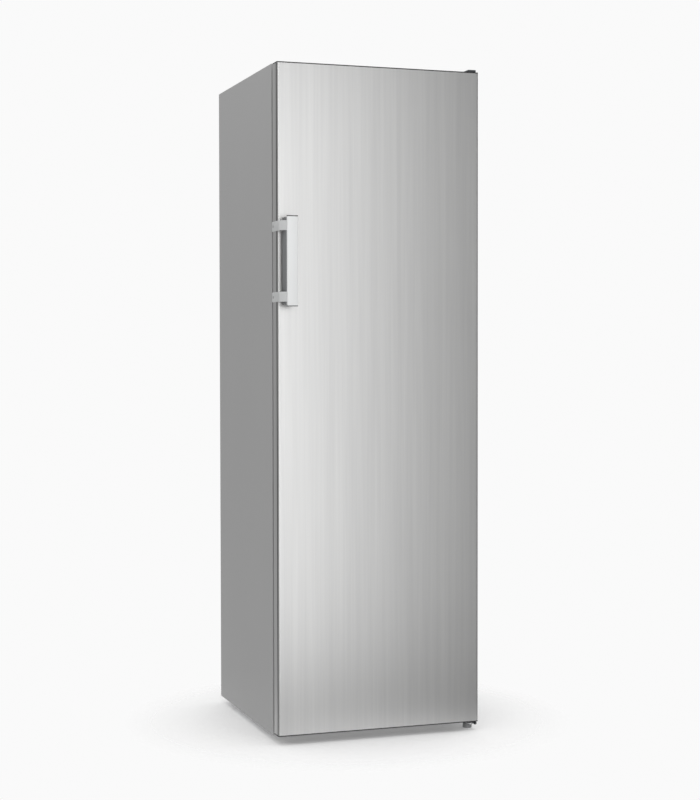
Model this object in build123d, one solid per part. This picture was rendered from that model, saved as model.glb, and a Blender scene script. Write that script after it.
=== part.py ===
# Free-standing upright freezer: one full-height steel door hinged on the right, seven drawers behind it,
# and a compressor in a recess at the lower back.
# Millimetres. The pieces are drawn with X to the right of the cabinet's middle, Y back from the door's
# front and Z up from the floor, then moved so that the origin is under the middle of the whole object.
import os

from build123d import *

# ---- driving dimensions ----
width = 595.0
height = 1875.0  # floor to the cabinet's top
depth = 630.0  # door front to cabinet back, handle apart
sheet = 0.8  # steel of the panels and the door skin
play = 0.3  # gap between pieces that pass each other
run = 0.06  # radial gap of a shaft in its bore

# door
door_thick = 46.0
seal_gap = 8.0  # between the door's back and the cabinet's front
door_low = 25.0
door_top_gap = 1.6  # under the upper hinge bracket
door_fold = 5.0
door_back_fold = 6.0
door_lip = 16.0
cap_thick = 3.0
cap_skirt = 20.0
cap_wall = 2.0
door_liner = 2.0
dam_rise = 20.0  # the inner liner's raised border, from the door's back
dam_gap = 9.0  # from the raised border to the cabinet's mouth
dam_width = 40.0
dam_corner = 24.0
dam_slope = 5.0
panel_sink = 9.0
bead_count = 5
bead_radius = 7.0
bead_rise = 3.0

# magnetic seal
seal_width = 14.0
seal_foot = 4.4
seal_groove = 5.0
groove_depth = 6.0
seal_corner = 12.0
seal_base = 1.2
seal_skin = 1.6
seal_head = 3.0

# handle
bar_left = 282.5  # from the middle to the bar's left edge
bar_width = 30.5
bar_thick = 6.0
bar_front = 45.0  # from the door's front to the bar's front
bar_crown = 0.9
bar_low = 1206.5
bar_high = 1452.5
core_thick = 2.5
core_short = 5.0  # the inner profile stops this far inside each end of the bar
core_reach = 25.0  # depth of the inner profile's slanted wall
core_lean = 5.5  # how far that wall leans out over its depth
bar_cap = 2.4
bracket_thick = 2.5
bracket_tall = 27.0
bracket_span = 193.3  # centre to centre
bracket_back = 43.0
bracket_bend = 25.0  # the bend lies this far ahead of the door's front
bracket_tab = 14.0
handle_screw_y = 32.0
handle_screw_head = 3.6
handle_screw_shaft = 2.0
handle_screw_long = 11.0

# hinges
hinge_inset = 16.0  # from the door's right edge to the pin
pin_y = 20.0
pin_radius = 4.0
pin_grip = 16.0
bush_radius = 7.0
bush_flange = 10.0
boss_wall = 3.5
plate = 3.0
tongue = 11.0
upper_tongue = 9.0  # half width of the upper plate
upper_plate_reach = 96.0  # from the cabinet's front to the plate's back end
lower_plate_wide = 61.5
lower_plate_ahead = 16.0  # how far the lower plate stands ahead of the cabinet's front
lower_plate_reach = 76.0
screw_inset = 12.0  # from the hinge plates' edges to the screws
rivet_head = 6.0
rivet_thick = 2.5
upper_rivet_thick = 1.2
screw_radius = 3.0
screw_head = 5.5
screw_head_thick = 3.6
screw_long = 16.0
screw_pitch = 27.0
lower_screw_pitch = 38.0
cover_wall = 1.6
cover_left = 12.3  # from the pin
cover_right = 11.0
cover_front = 13.0
cover_lap = 6.0  # how far the cover reaches past the plate
cover_low_rise = 6.2
cover_high_rise = 9.6
cover_edge = 2.5
clip_wide = 4.5
clip_front = 10.0
clip_back = 30.0
clip_low = 13.5
clip_high = 21.5

# cabinet shell
side_low = 18.0
front_flange = 40.0
rear_flange = 15.0
rail_sheet = 1.5
rail_low = 20.0
rail_reach = 96.0
foam_low = 60.0
recess_depth = 200.0
recess_top = 250.0
top_fold = 12.0
rail_lip = 12.0

# cabinet inside
wall_side = 58.0
wall_top = 62.0
wall_back = 60.0
hump_wall = 55.0
floor_height = 95.0
liner_thick = 2.0
inner_corner = 18.0
nose_corner = 12.0
air_duct = 82.0  # from the inner back wall to the air cover's front
cover_sheet = 2.5

# storage
shelf_count = 6
glass = 4.0
glass_side = 1.5
ledge_out = 9.0
ledge_tall = 10.0
ledge_front = 34.0
shelf_over_hump = 2.0
top_tray = 150.0  # height of the uppermost compartment
air_gap = 24.0  # between the shut door's inside and the drawer grips
drawer_side = 2.0
drawer_above = 8.0
drawer_behind = 8.0
drawer_wall = 2.2
drawer_corner = 16.0
drawer_lean = 1.8  # degrees that the tub's walls lean in towards its floor
rim_out = 4.0
rim_thick = 3.0
grip_out = 14.0
grip_wall = 2.5
grip_hook = 14.0
front_wall = 3.0
rib_count = 5
rib_tall = 1.5
rib_wide = 3.0

# control panel and lamp
control_tall = 46.0
store_gap = 5.0  # between the control panel and the uppermost compartment
control_front = 84.0
control_deep = 116.0
control_side = 6.0
control_wall = 2.2
button_radius = 7.0
button_pitch = 30.0
button_proud = 1.6
button_long = 9.0
button_flange = 8.6
lens_wide = 120.0
lens_deep = 40.0
lens_y = 132.0
lens_lip = 3.0
screen_x = 90.0
screen_wide = 70.0
screen_tall = 14.0

# cold air
slot_count = 6
slot_wide = 44.0
slot_tall = 7.0
grille_bars = 12
grille_hub = 24.0
fan_radius = 52.0
blade_count = 7
blade_chord = 26.0
blade_thick = 2.0
blade_pitch = 52.0
hub_radius = 15.0
shaft_radius = 2.0
shroud_wall = 3.0
fin_count = 17
fin_pitch = 22.0
fin_thick = 1.0
tube_rows = 4
evaporator_low = 340.0
evaporator_tall = 210.0
evaporator_deep = 52.0
tube_radius = 4.0
coil_gap = 12.0  # from the coil to the inner back wall
heater_drop = 14.0
sleeve_long = 24.0
drain_radius = 9.0
drain_wall = 1.5
drain_back = 100.0  # from the recess's front wall to the drain

# machine recess
base_low = 40.0
base_sheet = 1.5
base_gap = 12.0  # from the recess's front wall to the base plate
base_short = 10.0  # from the base plate to the cabinet's back
base_edge = 20.0
roller_radius = 18.0
roller_wide = 16.0
roller_inset = 35.5  # from the cabinet's side to the roller's middle
roller_back = 45.0  # from the cabinet's back to the axle
ear_low = 11.0
ear_foot = 32.0
ear_tip = 16.0
slot_pitch = 30.0
base_slots = 5
axle_radius = 3.0
cheek = 2.0
compressor_x = 62.0
compressor_back = 98.0  # from the recess's front wall to the shell's middle
compressor_long = 172.0
compressor_wide = 128.0
compressor_round = 60.0
compressor_tall = 132.0
compressor_slope = (34.0, 22.0)
feet_thick = 2.5
weld_out = 4.0
weld_tall = 5.0
relay_long = 44.0
relay_wide = 56.0
relay_low = 18.0  # from the compressor's feet
relay_tall = 44.0
feet_long = 196.0
feet_wide = 140.0
grommet_x = 84.0
grommet_y = 56.0
grommet_radius = 12.0
grommet_neck = 7.0
grommet_tall = 12.0
tray_long = 220.0
tray_wide = 138.0
tray_tall = 30.0
tray_wall = 2.0
pipe_radius = 3.2
pipe_bend = 24.0
pipe_spread = 4.0
suction_out = 60.0
discharge_out = 120.0
drier_radius = 9.0
drier_long = 80.0
drier_rise = 66.0  # from the compressor's feet
gland_x = -150.0
gland_wide = 26.0
gland_tall = 24.0
gland_deep = 14.0
cord_radius = 3.6

# levelling feet
foot_radius = 13.0
foot_tall = 13.0
stud_radius = 5.0
nut_radius = 7.5
right_foot_out = 1.5  # from the hinge pin to the right foot
right_foot_ahead = 7.5  # from the cabinet's front to the right foot
left_foot_in = 42.5  # from the cabinet's left side to the left foot
left_foot_back = 64.0  # from the cabinet's front to the left foot
left_stud_top = 45.0
nut_tall = 8.0

# ---- places worked out from them ----
cab_front = door_thick + seal_gap
side_in = width / 2 - sheet
door_top = height - door_top_gap
door_mid = (door_low + door_top) / 2
door_tall = door_top - door_low
pin_x = width / 2 - hinge_inset
dam_back = door_thick + dam_rise
cav_x = width / 2 - wall_side
cav_top = height - wall_top
cav_back = depth - wall_back
recess_front = depth - recess_depth
hump_front = recess_front - hump_wall
hump_top = recess_top + hump_wall
mouth_lap = wall_side - front_flange
foam_front = cab_front + sheet + rail_sheet
foam_back = depth - 2 * sheet
duct_front = cav_back - air_duct
lower_plate_top = rail_low
lower_plate_left = pin_x + tongue - lower_plate_wide
lower_plate_front = cab_front - lower_plate_ahead
lower_plate_back = cab_front + lower_plate_reach
upper_plate_back = cab_front + upper_plate_reach
cover_back = upper_plate_back + cover_lap
right_foot = (pin_x + right_foot_out, cab_front - right_foot_ahead)
left_foot = (-(width / 2 - left_foot_in), cab_front + left_foot_back)
drain_y = recess_front + drain_back
base_front = recess_front + base_gap
base_back = depth - base_short
roller_x = width / 2 - roller_inset
roller_y = depth - roller_back
compressor_y = recess_front + compressor_back
seal_wide = width - 2 * hinge_inset
seal_tall = door_tall - 2 * hinge_inset
shelf_low = hump_top + shelf_over_hump
store_top = cav_top - control_tall - store_gap
shelf_pitch = (store_top - top_tray - shelf_low) / (shelf_count - 1)
shelf_z = [shelf_low + i * shelf_pitch for i in range(shelf_count)]
fan_z = (shelf_z[1] + shelf_z[2]) / 2
grip_front = dam_back + air_gap
drawer_front = grip_front + grip_out
drawer_x = cav_x - ledge_out - drawer_side
bracket_mid = (bar_low + bar_high) / 2
bracket_z = [bracket_mid - bracket_span / 2, bracket_mid + bracket_span / 2]

# the object's middle: from the handle's screwed plates to the right side, and from the bar to the back
x_mid = -bracket_thick / 2
y_mid = (depth - bar_front) / 2


def block(x0, x1, y0, y1, z0, z1):
    return Pos((x0 + x1) / 2, (y0 + y1) / 2, (z0 + z1) / 2) * Box(x1 - x0, y1 - y0, z1 - z0)


def outline(points, radii=None):
    if radii is None:
        return make_face(Polyline(*points, close=True))
    return make_face(FilletPolyline(*points, radius=radii, close=True))


def raised(sketch, z0, z1):
    return extrude(Plane.XY.offset(z0) * sketch, z1 - z0)


def front_view(sketch, y0, y1):
    # an (X, Z) outline, stretched from y0 back to y1
    return extrude(Plane.XZ.offset(-y1) * sketch, y1 - y0)


def side_view(sketch, x0, x1):
    # a (Y, Z) outline, stretched from x0 to x1
    return extrude(Plane.YZ.offset(x0) * sketch, x1 - x0)


def rod(x, y, z0, z1, radius):
    return Pos(x, y, (z0 + z1) / 2) * Cylinder(radius, z1 - z0)


def rod_x(y, z, x0, x1, radius):
    return Pos((x0 + x1) / 2, y, z) * Rot(0, 90, 0) * Cylinder(radius, x1 - x0)


def rod_y(x, z, y0, y1, radius):
    return Pos(x, (y0 + y1) / 2, z) * Rot(90, 0, 0) * Cylinder(radius, y1 - y0)


def rod_between(start, end, radius):
    line = Edge.make_line(start, end)
    return extrude(Plane(origin=start, z_dir=line % 0) * Circle(radius), line.length)


def slab(wide, tall, corner, y0, y1, z_mid):
    return front_view(Pos(0, z_mid) * RectangleRounded(wide, tall, corner), y0, y1)


def ring(wide, tall, corner, limb, y0, y1, z_mid):
    outer = RectangleRounded(wide, tall, corner)
    inner = RectangleRounded(wide - 2 * limb, tall - 2 * limb, max(corner - limb, 1))
    return front_view(Pos(0, z_mid) * (outer - inner), y0, y1)


# ---- door ----
def door_outline(inset):
    # plan of the door's slab, drawn in by inset
    half = width / 2 - inset
    front, back = door_fold - inset, door_back_fold - inset
    points = [(-half, inset), (half, inset), (half, door_thick - inset), (-half, door_thick - inset)]
    return outline(points, [front, front, back, back])


def door_skin():
    low, high = door_low + cap_thick, door_top - cap_thick
    skin = raised(door_outline(0) - door_outline(sheet), low, high)
    gap = width / 2 - door_lip
    skin -= block(-gap, gap, door_thick - 2 * sheet, door_thick + 1, low - 1, high + 1)
    for z in bracket_z:
        skin -= rod_x(handle_screw_y, z, -width / 2 - 1, -width / 2 + 2, handle_screw_shaft + run)
    return skin


def door_cap(top):
    # end cap with a skirt inside the skin and a boss for the hinge bush
    skirt = door_outline(sheet) - door_outline(sheet + cap_wall)
    skirt = raised(skirt, door_low + cap_thick, door_low + cap_thick + cap_skirt)
    behind = door_thick - groove_depth - door_liner
    skirt -= block(-width, width, behind, door_thick + 1, door_low, door_low + 2 * cap_skirt)
    cap = raised(door_outline(0), door_low, door_low + cap_thick) + skirt
    boss_top = door_low + cap_thick + cap_skirt
    for x in (pin_x, -pin_x):
        boss = rod(x, pin_y, door_low, boss_top, bush_radius + boss_wall)
        cap += boss & raised(door_outline(sheet), door_low, boss_top)
    cap -= rod(pin_x, pin_y, door_low - 1, boss_top + 1, bush_radius + run / 2)
    return door_flipped(cap) if top else cap


def door_flipped(piece):
    return mirror(piece, Plane.XY.offset(door_mid))


def bush(flange_thick):
    # flanged sleeve at the door's lower end
    sleeve = rod(pin_x, pin_y, door_low, door_low + cap_thick + cap_skirt, bush_radius)
    sleeve += rod(pin_x, pin_y, door_low - flange_thick, door_low, bush_flange)
    through = door_low + cap_thick + cap_skirt + 1
    return sleeve - rod(pin_x, pin_y, door_low - flange_thick - 1, through, pin_radius + run)


def door_bushes():
    clearance = 0.2
    lower = bush(door_low - lower_plate_top - clearance)
    upper = door_flipped(bush(door_top_gap - clearance))
    return Compound([lower.solid(), upper.solid()])


def dam(grow):
    # raised border and sunk middle of the door's inside; grow < 0 gives the space behind the sheet
    wide = 2 * (cav_x - dam_gap + grow)
    tall = cav_top - floor_height - 2 * (dam_gap - grow)
    mid = (cav_top + floor_height) / 2
    raised_part = slab(wide, tall, dam_corner + grow, door_thick - door_liner, dam_back + grow, mid)
    raised_part = chamfer(raised_part.faces().sort_by(Axis.Y)[-1].edges(), dam_slope)
    sunk_wide, sunk_tall = wide - 2 * dam_width - 4 * grow, tall - 2 * dam_width - 4 * grow
    sunk = slab(sunk_wide, sunk_tall, dam_corner - grow, dam_back + grow - panel_sink, dam_back + 9, mid)
    form = raised_part - sunk
    step = sunk_tall / (bead_count + 1)
    bed = dam_back + grow - panel_sink
    half = (sunk_wide - 2 * dam_width) / 2
    for i in range(bead_count):
        z = mid - sunk_tall / 2 + (i + 1) * step
        bead = rod_x(bed + bead_rise - bead_radius, z, -half, half, bead_radius)
        form += bead & block(-width, width, door_thick, dam_back, z - 50, z + 50)
    return form


def groove_ring(limb, y0, y1):
    # ring that follows the middle of the seal
    inset = (seal_width - limb) / 2
    corner = seal_corner - inset
    return ring(seal_wide - 2 * inset, seal_tall - 2 * inset, corner, limb, y0, y1, door_mid)


def door_inner_liner():
    front = door_thick - door_liner
    half = width / 2 - door_lip - run
    low, high = door_low + cap_thick, door_top - cap_thick
    liner = block(-half, half, front, door_thick, low, high)
    liner += dam(0)
    liner += groove_ring(seal_groove + 3, door_thick - groove_depth - 1.5, door_thick)
    liner -= groove_ring(seal_groove, door_thick - groove_depth, door_thick + 1)
    return liner - dam(-door_liner)


def door_foam():
    low, high = door_low + cap_thick + cap_skirt, door_top - cap_thick - cap_skirt
    foam = raised(door_outline(sheet), low, high)
    foam -= block(-width, width, door_thick - door_liner, door_thick + 1, low - 1, high + 1)
    foam -= groove_ring(seal_groove + 3, door_thick - groove_depth - 1.5, door_thick)
    foam += dam(-door_liner)
    for z in bracket_z:
        end = -width / 2 + handle_screw_long + play
        foam -= rod_x(handle_screw_y, z, -width / 2, end, handle_screw_shaft + play)
    return foam


def door_seal():
    face = door_thick
    head = cab_front - play
    seal = ring(seal_wide, seal_tall, seal_corner, seal_width, face, face + seal_base, door_mid)
    seal += ring(seal_wide, seal_tall, seal_corner, seal_width, head - seal_head, head, door_mid)
    seal += ring(seal_wide, seal_tall, seal_corner, seal_skin, face, head, door_mid)
    seal += groove_ring(seal_skin, face, head)
    return seal + groove_ring(seal_foot, face - groove_depth + play, face)


# ---- handle ----
# middle line of the bent strips, seen from above: along the door's side, slanting in, behind the bar
strip_side = -(width / 2 + bracket_thick / 2)
strip_behind = -(bar_front - bar_thick) + bracket_thick / 2
strip_corner = -(bar_left + bracket_thick / 2)


def handle_bar():
    low, high = bar_low + bar_cap, bar_high - bar_cap
    left, right = -bar_left, -bar_left + bar_width
    front, back = -bar_front, -bar_front + bar_thick
    edge = front + bar_crown
    crown = ThreePointArc((left + 1, edge), ((left + right) / 2, front), (right - 1, edge))
    rest = Polyline((right - 1, edge), (right, edge + 1), (right, back), (left, back), (left, edge + 1),
                    (left + 1, edge))
    return raised(make_face(crown + rest), low, high)


def handle_core():
    # dark profile behind the bar with a slanted wall, notched at the brackets, with the bar's end caps
    far = strip_behind + core_reach
    line = Polyline((-bar_left + bar_width - 2, strip_behind), (strip_corner, strip_behind),
                    (strip_corner - core_lean, far))
    core = raised(trace(line, core_thick), bar_low + core_short, bar_high - core_short)
    for z in bracket_z:
        half = bracket_tall / 2 + play
        core -= block(-width, strip_corner + bracket_tab + play, -bar_front, 0, z - half, z + half)
    left, right = -bar_left, -bar_left + bar_width
    front = -bar_front + bar_crown
    behind, back = strip_behind - core_thick / 2, strip_behind + core_thick / 2
    for end, inward in ((bar_low, 1), (bar_high, -1)):
        core += block(left, right, front, back, *sorted((end, end + inward * bar_cap)))
        core += block(left + 2, right - 2, behind, back, *sorted((end, end + inward * core_short)))
    return core


def handle_brackets():
    line = Polyline((strip_side, bracket_back), (strip_side, -bracket_bend), (strip_corner, strip_behind),
                    (strip_corner + bracket_tab, strip_behind))
    strips = []
    for z in bracket_z:
        strip = raised(trace(line, bracket_thick), z - bracket_tall / 2, z + bracket_tall / 2)
        strip -= handle_screw(z, run)
        strips.append(strip.solid())
    return Compound(strips)


def handle_screw(z, grow):
    # countersunk screw, its head flush with the bracket's outside
    out = -width / 2 - bracket_thick
    head = handle_screw_head + grow
    shaft = handle_screw_shaft + grow
    sink = handle_screw_head - handle_screw_shaft
    profile = outline([(out, 0), (out, head), (out + sink, shaft), (out + handle_screw_long, shaft),
                       (out + handle_screw_long, 0)])
    return Pos(0, handle_screw_y, z) * revolve(profile, Axis.X)


def handle_screws():
    return Compound([handle_screw(z, 0).solid() for z in bracket_z])


# ---- hinges ----
upper_screws = [(pin_x, upper_plate_back - screw_inset - i * screw_pitch) for i in range(3)]
lower_screw_y = lower_plate_back - screw_inset - 6
lower_screw_x = lower_plate_left + screw_inset
lower_screws = [(lower_screw_x, lower_screw_y - lower_screw_pitch), (lower_screw_x, lower_screw_y),
                (pin_x - 4, lower_screw_y)]


def upper_bracket():
    # flat strip from the door's pin back over the cabinet's top
    left, right = pin_x - upper_tongue, pin_x + upper_tongue
    shape = outline([(left, pin_y), (right, pin_y), (right, upper_plate_back), (left, upper_plate_back)],
                    [0, 0, 4, 4])
    bracket = raised(shape + Pos(pin_x, pin_y) * Circle(upper_tongue), height, height + plate)
    for x, y in upper_screws:
        bracket -= rod(x, y, height - 1, height + plate + 1, screw_radius + play)
    bracket += rod(pin_x, pin_y, door_top - pin_grip, height + plate, pin_radius)
    return bracket + rod(pin_x, pin_y, height + plate, height + plate + upper_rivet_thick, rivet_head)


def lower_bracket():
    low, high = lower_plate_top - plate, lower_plate_top
    right = pin_x + tongue
    body = outline([(lower_plate_left, lower_plate_front), (right, lower_plate_front),
                    (right, lower_plate_back), (lower_plate_left, lower_plate_back)], [8, 0, 4, 4])
    arm = outline([(pin_x - tongue, pin_y), (right, pin_y), (right, lower_plate_front + 8),
                   (pin_x - tongue - 6, lower_plate_front + 8), (pin_x - tongue, lower_plate_front - 6)])
    bracket = raised(body + arm + Pos(pin_x, pin_y) * Circle(tongue), low, high)
    for x, y in lower_screws:
        bracket -= rod(x, y, low - 1, high + 1, screw_radius + play)
    nut = RegularPolygon(nut_radius, 6)
    foot_x, foot_y = right_foot
    bracket += raised(Pos(foot_x, foot_y) * nut, high, door_low - 1)
    bracket -= rod(foot_x, foot_y, low - 1, door_low, stud_radius + run)
    bracket += rod(pin_x, pin_y, low, door_low + pin_grip, pin_radius)
    return bracket + rod(pin_x, pin_y, low - rivet_thick, low, rivet_head)


def hinge_screws():
    # hexagon heads above the upper plate and below the lower one
    screws = []
    for x, y in upper_screws:
        top = height + plate
        head = raised(Pos(x, y) * RegularPolygon(screw_head, 6), top, top + screw_head_thick)
        screws.append((head + rod(x, y, top - screw_long, top, screw_radius)).solid())
    for x, y in lower_screws:
        low = lower_plate_top - plate
        head = raised(Pos(x, y) * RegularPolygon(screw_head, 6), low - screw_head_thick, low)
        screws.append((head + rod(x, y, low, low + screw_long, screw_radius)).solid())
    return Compound(screws)


def screw_holes(z0, z1, places):
    holes = [rod(x, y, z0, z1, screw_radius + run) for x, y in places]
    return Compound([hole.solid() for hole in holes])


def cover_form(inset, low):
    # lower over the door than over the screws, with its two long upper edges cut off
    left, right = pin_x - cover_left + inset, pin_x + cover_right - inset
    front, back = pin_y - cover_front + inset, cover_back - inset
    top_front = height + cover_low_rise - inset
    top_back = height + cover_high_rise - inset
    edge = cover_edge - inset / 2
    lengthwise = outline([(front, low), (back, low), (back, top_back), (cab_front + cover_lap, top_back),
                          (cab_front - 2 * cover_lap, top_front), (front, top_front)])
    across = outline([(left, low), (right, low), (right, top_back - edge), (right - edge, top_back),
                      (left + edge, top_back), (left, top_back - edge)])
    return side_view(lengthwise, left, right) & front_view(across, front, back)


def hinge_cover():
    return cover_form(0, height) - cover_form(cover_wall, height - 1)


def hinge_clip():
    side = pin_x + tongue
    profile = outline([(clip_front, clip_low + 2), (clip_front + 3, clip_low), (clip_back, clip_low),
                       (clip_back, clip_high), (clip_front, clip_high)])
    return side_view(profile, side, side + clip_wide)


# ---- cabinet shell ----
def side_panel(sign):
    out, inner = width / 2, side_in
    panel = block(out - front_flange, out, cab_front, depth, side_low, height)
    panel -= block(out - front_flange - 1, inner, cab_front + sheet, depth - sheet, side_low - 1, height + 1)
    rear = out - rear_flange
    panel -= block(out - front_flange - 1, rear, depth - 2 * sheet, depth + 1, side_low - 1, height + 1)
    edges = panel.edges().filter_by(Axis.Z).group_by(Axis.X)[-1]
    panel = fillet(edges, sheet * 0.9)
    panel -= block(out - front_flange - 1, inner, 0, cab_front + sheet + 1, side_low - 1, rail_low)
    return panel if sign > 0 else mirror(panel, Plane.YZ)


def top_panel():
    top = block(-side_in, side_in, cab_front + sheet, depth - sheet, height - sheet, height)
    for sign in (-1, 1):
        x0, x1 = sorted((sign * side_in, sign * (side_in - sheet)))
        top += block(x0, x1, cab_front + sheet + rail_sheet, foam_back, height - top_fold, height - sheet)
    return top - screw_holes(height - 5, height + 1, upper_screws)


def back_panel():
    return block(-side_in, side_in, foam_back, depth - sheet, recess_top, height - sheet)


def upper_rail():
    low = cav_top + mouth_lap
    face = cab_front + sheet
    return block(-side_in, side_in, face, face + rail_sheet, low, height - sheet)


def lower_rail():
    face = cab_front + sheet
    high = floor_height - mouth_lap
    back = face + rail_reach
    profile = outline([(face, rail_low), (back, rail_low), (back, rail_low + rail_lip),
                       (back - rail_sheet, rail_low + rail_lip), (back - rail_sheet, rail_low + rail_sheet),
                       (face + rail_sheet, rail_low + rail_sheet), (face + rail_sheet, high), (face, high)])
    rail = side_view(profile, -side_in, side_in)
    x, y = left_foot
    nut_base = rail_low + rail_sheet
    rail += raised(Pos(x, y) * RegularPolygon(nut_radius, 6), nut_base, nut_base + nut_tall)
    rail -= rod(x, y, rail_low - 1, nut_base + nut_tall + 1, stud_radius + run)
    return rail - screw_holes(rail_low - 1, rail_low + rail_sheet + 1, lower_screws)


def underside_panel():
    front, back = foam_front, foam_back
    inner_y, roof = recess_front + sheet, recess_top - sheet
    points = [(front, foam_low), (recess_front, foam_low), (recess_front, recess_top), (back, recess_top),
              (back, roof), (inner_y, roof), (inner_y, foam_low - sheet), (front, foam_low - sheet)]
    panel = side_view(outline(points), -side_in, side_in)
    panel -= rod(0, drain_y, roof - 1, recess_top + 1, drain_radius + run)
    return panel


def cavity_form(grow, front):
    # the storage space with its step over the machine recess, each wall moved out by grow
    low, high = floor_height - grow, cav_top + grow
    step_y, step_z, back = hump_front + grow, hump_top - grow, cav_back + grow
    points = [(front, low), (step_y, low), (step_y, step_z), (back, step_z), (back, high), (front, high)]
    inner = inner_corner + grow
    shape = outline(points, [0, inner, nose_corner - grow, inner, inner, 0])
    half = cav_x + grow
    return side_view(shape, -half, half)


def cabinet_foam():
    foam = block(-side_in, side_in, foam_front, foam_back, foam_low, height - sheet)
    foam -= block(-width, width, recess_front, depth, 0, recess_top)
    foam -= cavity_form(liner_thick, 0)
    for sign in (-1, 1):
        x0, x1 = sorted((sign * width, sign * (side_in - sheet)))
        foam -= block(x0, x1, 0, depth, height - top_fold, height)
    foam -= rod(0, drain_y, recess_top - 1, hump_top + 1, drain_radius + run)
    return foam - screw_holes(height - screw_long, height + 1, upper_screws)


def inner_liner():
    front, flange = cab_front, liner_thick
    liner = cavity_form(liner_thick, front)
    outer_x = width / 2 - front_flange - run
    low, high = floor_height - mouth_lap + run, cav_top + mouth_lap - run
    liner += block(-outer_x, outer_x, front, front + flange, low, high)
    space = cavity_form(0, front - 1)
    liner -= space
    for z in shelf_z:
        profile = outline([(0, z), (ledge_out, z), (ledge_out, z - ledge_tall * 0.6), (0, z - ledge_tall)])
        rib = space & (Pos(-cav_x, 0, 0) * front_view(profile, front + ledge_front, duct_front - 1))
        liner += rib
        liner += mirror(rib, Plane.YZ)
    return liner - rod(0, drain_y, hump_top - liner_thick - 1, hump_top + 1, drain_radius + run)


def shelf(i):
    half = cav_x - glass_side
    z = shelf_z[i]
    front, back = cab_front + ledge_front + 6, duct_front - play
    corner = 6
    top = outline([(-half, front), (half, front), (half, back), (-half, back)], [corner, corner, 0, 0])
    return raised(top, z, z + glass)


# ---- cold air ----
def air_cover():
    # tray-shaped cover over the duct, with vents at each level and a round grille before the fan
    half = cav_x - play
    low, high = hump_top + play, cav_top - play
    shape = outline([(-half, low), (half, low), (half, high), (-half, high)], inner_corner)
    cover = front_view(shape, duct_front, cav_back - inner_corner - play)
    cut = outline([(-half + cover_sheet, low - inner_corner), (half - cover_sheet, low - inner_corner),
                   (half - cover_sheet, high - cover_sheet), (-half + cover_sheet, high - cover_sheet)],
                  inner_corner - cover_sheet)
    cover -= front_view(cut, duct_front + cover_sheet, cav_back)
    pitch = 2 * half / (slot_count + 0.5)
    for z in shelf_z[1:] + [store_top]:
        for i in range(slot_count):
            x = (i - (slot_count - 1) / 2) * pitch
            slot_z = z - slot_tall * 3
            cover -= block(x - slot_wide / 2, x + slot_wide / 2, 0, depth, slot_z, slot_z + slot_tall)
    inner, outer = grille_hub, fan_radius - 3
    for i in range(grille_bars):
        bar = Pos((inner + outer) / 2, 0) * Rectangle(outer - inner, slot_tall)
        cover -= front_view(Pos(0, fan_z) * Rot(0, 0, i * 360 / grille_bars) * bar, 0, depth)
    return cover


fan_front = duct_front + cover_sheet + 8
fan_back = fan_front + 22
motor_front = fan_back + 6


def fan_motor():
    # motor with a shroud round the blades, on three arms from the back wall
    back = cav_back
    motor = rod_y(0, fan_z, motor_front, back - 6, 24)
    tube = rod_y(0, fan_z, fan_front, motor_front + 4, fan_radius + 2 + shroud_wall)
    tube -= rod_y(0, fan_z, fan_front - 1, motor_front + 5, fan_radius + 2)
    motor += tube
    for i in range(3):
        angle = 90 + i * 120
        far = fan_radius + 2 + shroud_wall
        arm = Pos((12 + far) / 2, 0) * Rectangle(far - 12, 10)
        motor += front_view(Pos(0, fan_z) * Rot(0, 0, angle) * arm, motor_front, motor_front + 4)
        foot = Pos(far - 4, 0) * Rectangle(8, 10)
        motor += front_view(Pos(0, fan_z) * Rot(0, 0, angle) * foot, motor_front, back)
    return motor - rod_y(0, fan_z, motor_front - 1, motor_front + 20, shaft_radius + run)


def fan_rotor():
    # hub, shaft and bowed blades set at a pitch
    hub = rod_y(0, fan_z, fan_front + 2, fan_back, hub_radius)
    hub += rod_y(0, fan_z, fan_back, motor_front + 18, shaft_radius)
    half = blade_chord / 2
    bow, thick = blade_chord * 0.16, blade_thick
    section = make_face(ThreePointArc((-half, 0), (0, bow), (half, 0))
                        + ThreePointArc((half, 0), (0, bow - thick), (-half, 0)))
    for i in range(blade_count):
        start = Plane(origin=(hub_radius - 2, 0, 0), x_dir=(0, 1, 0), z_dir=(1, 0, 0))
        blade = extrude(start * (Rot(0, 0, blade_pitch) * section), fan_radius - hub_radius)
        turn = Pos(0, (fan_front + fan_back) / 2, fan_z) * Rot(0, i * 360 / blade_count, 0)
        hub += turn * blade
    return hub


def evaporator():
    # finned block on a serpentine tube whose bends show at both ends
    back = cav_back - coil_gap
    front = back - evaporator_deep
    half = (fin_count - 1) * fin_pitch / 2
    spine = 3.0
    comb = [(-half - 6, back), (half + 6, back), (half + 6, back - spine)]
    for i in reversed(range(fin_count)):
        x = -half + i * fin_pitch
        comb += [(x + fin_thick, back - spine), (x + fin_thick, front), (x - fin_thick, front),
                 (x - fin_thick, back - spine)]
    comb += [(-half - 6, back - spine)]
    high = evaporator_low + evaporator_tall
    coil = raised(outline(comb), evaporator_low, high)
    for sign in (-1, 1):
        x0, x1 = sorted((sign * (half + 6), sign * (half + 4)))
        coil += block(x0, x1, front, cav_back, evaporator_low, high)
    row_pitch = evaporator_tall / tube_rows
    for i in range(tube_rows - 1):
        sign = 1 if i % 2 == 0 else -1
        x, z = sign * (half + 5), evaporator_low + row_pitch * (i + 1)
        r = row_pitch / 2
        line = Polyline((x, z - r), (x + sign * r * 0.6, z - r), (x + sign * r, z - r * 0.6),
                        (x + sign * r, z + r * 0.6), (x + sign * r * 0.6, z + r), (x, z + r))
        y = (front + back) / 2
        coil += front_view(trace(line, 2 * tube_radius), y - tube_radius, y + tube_radius)
    return coil


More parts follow.
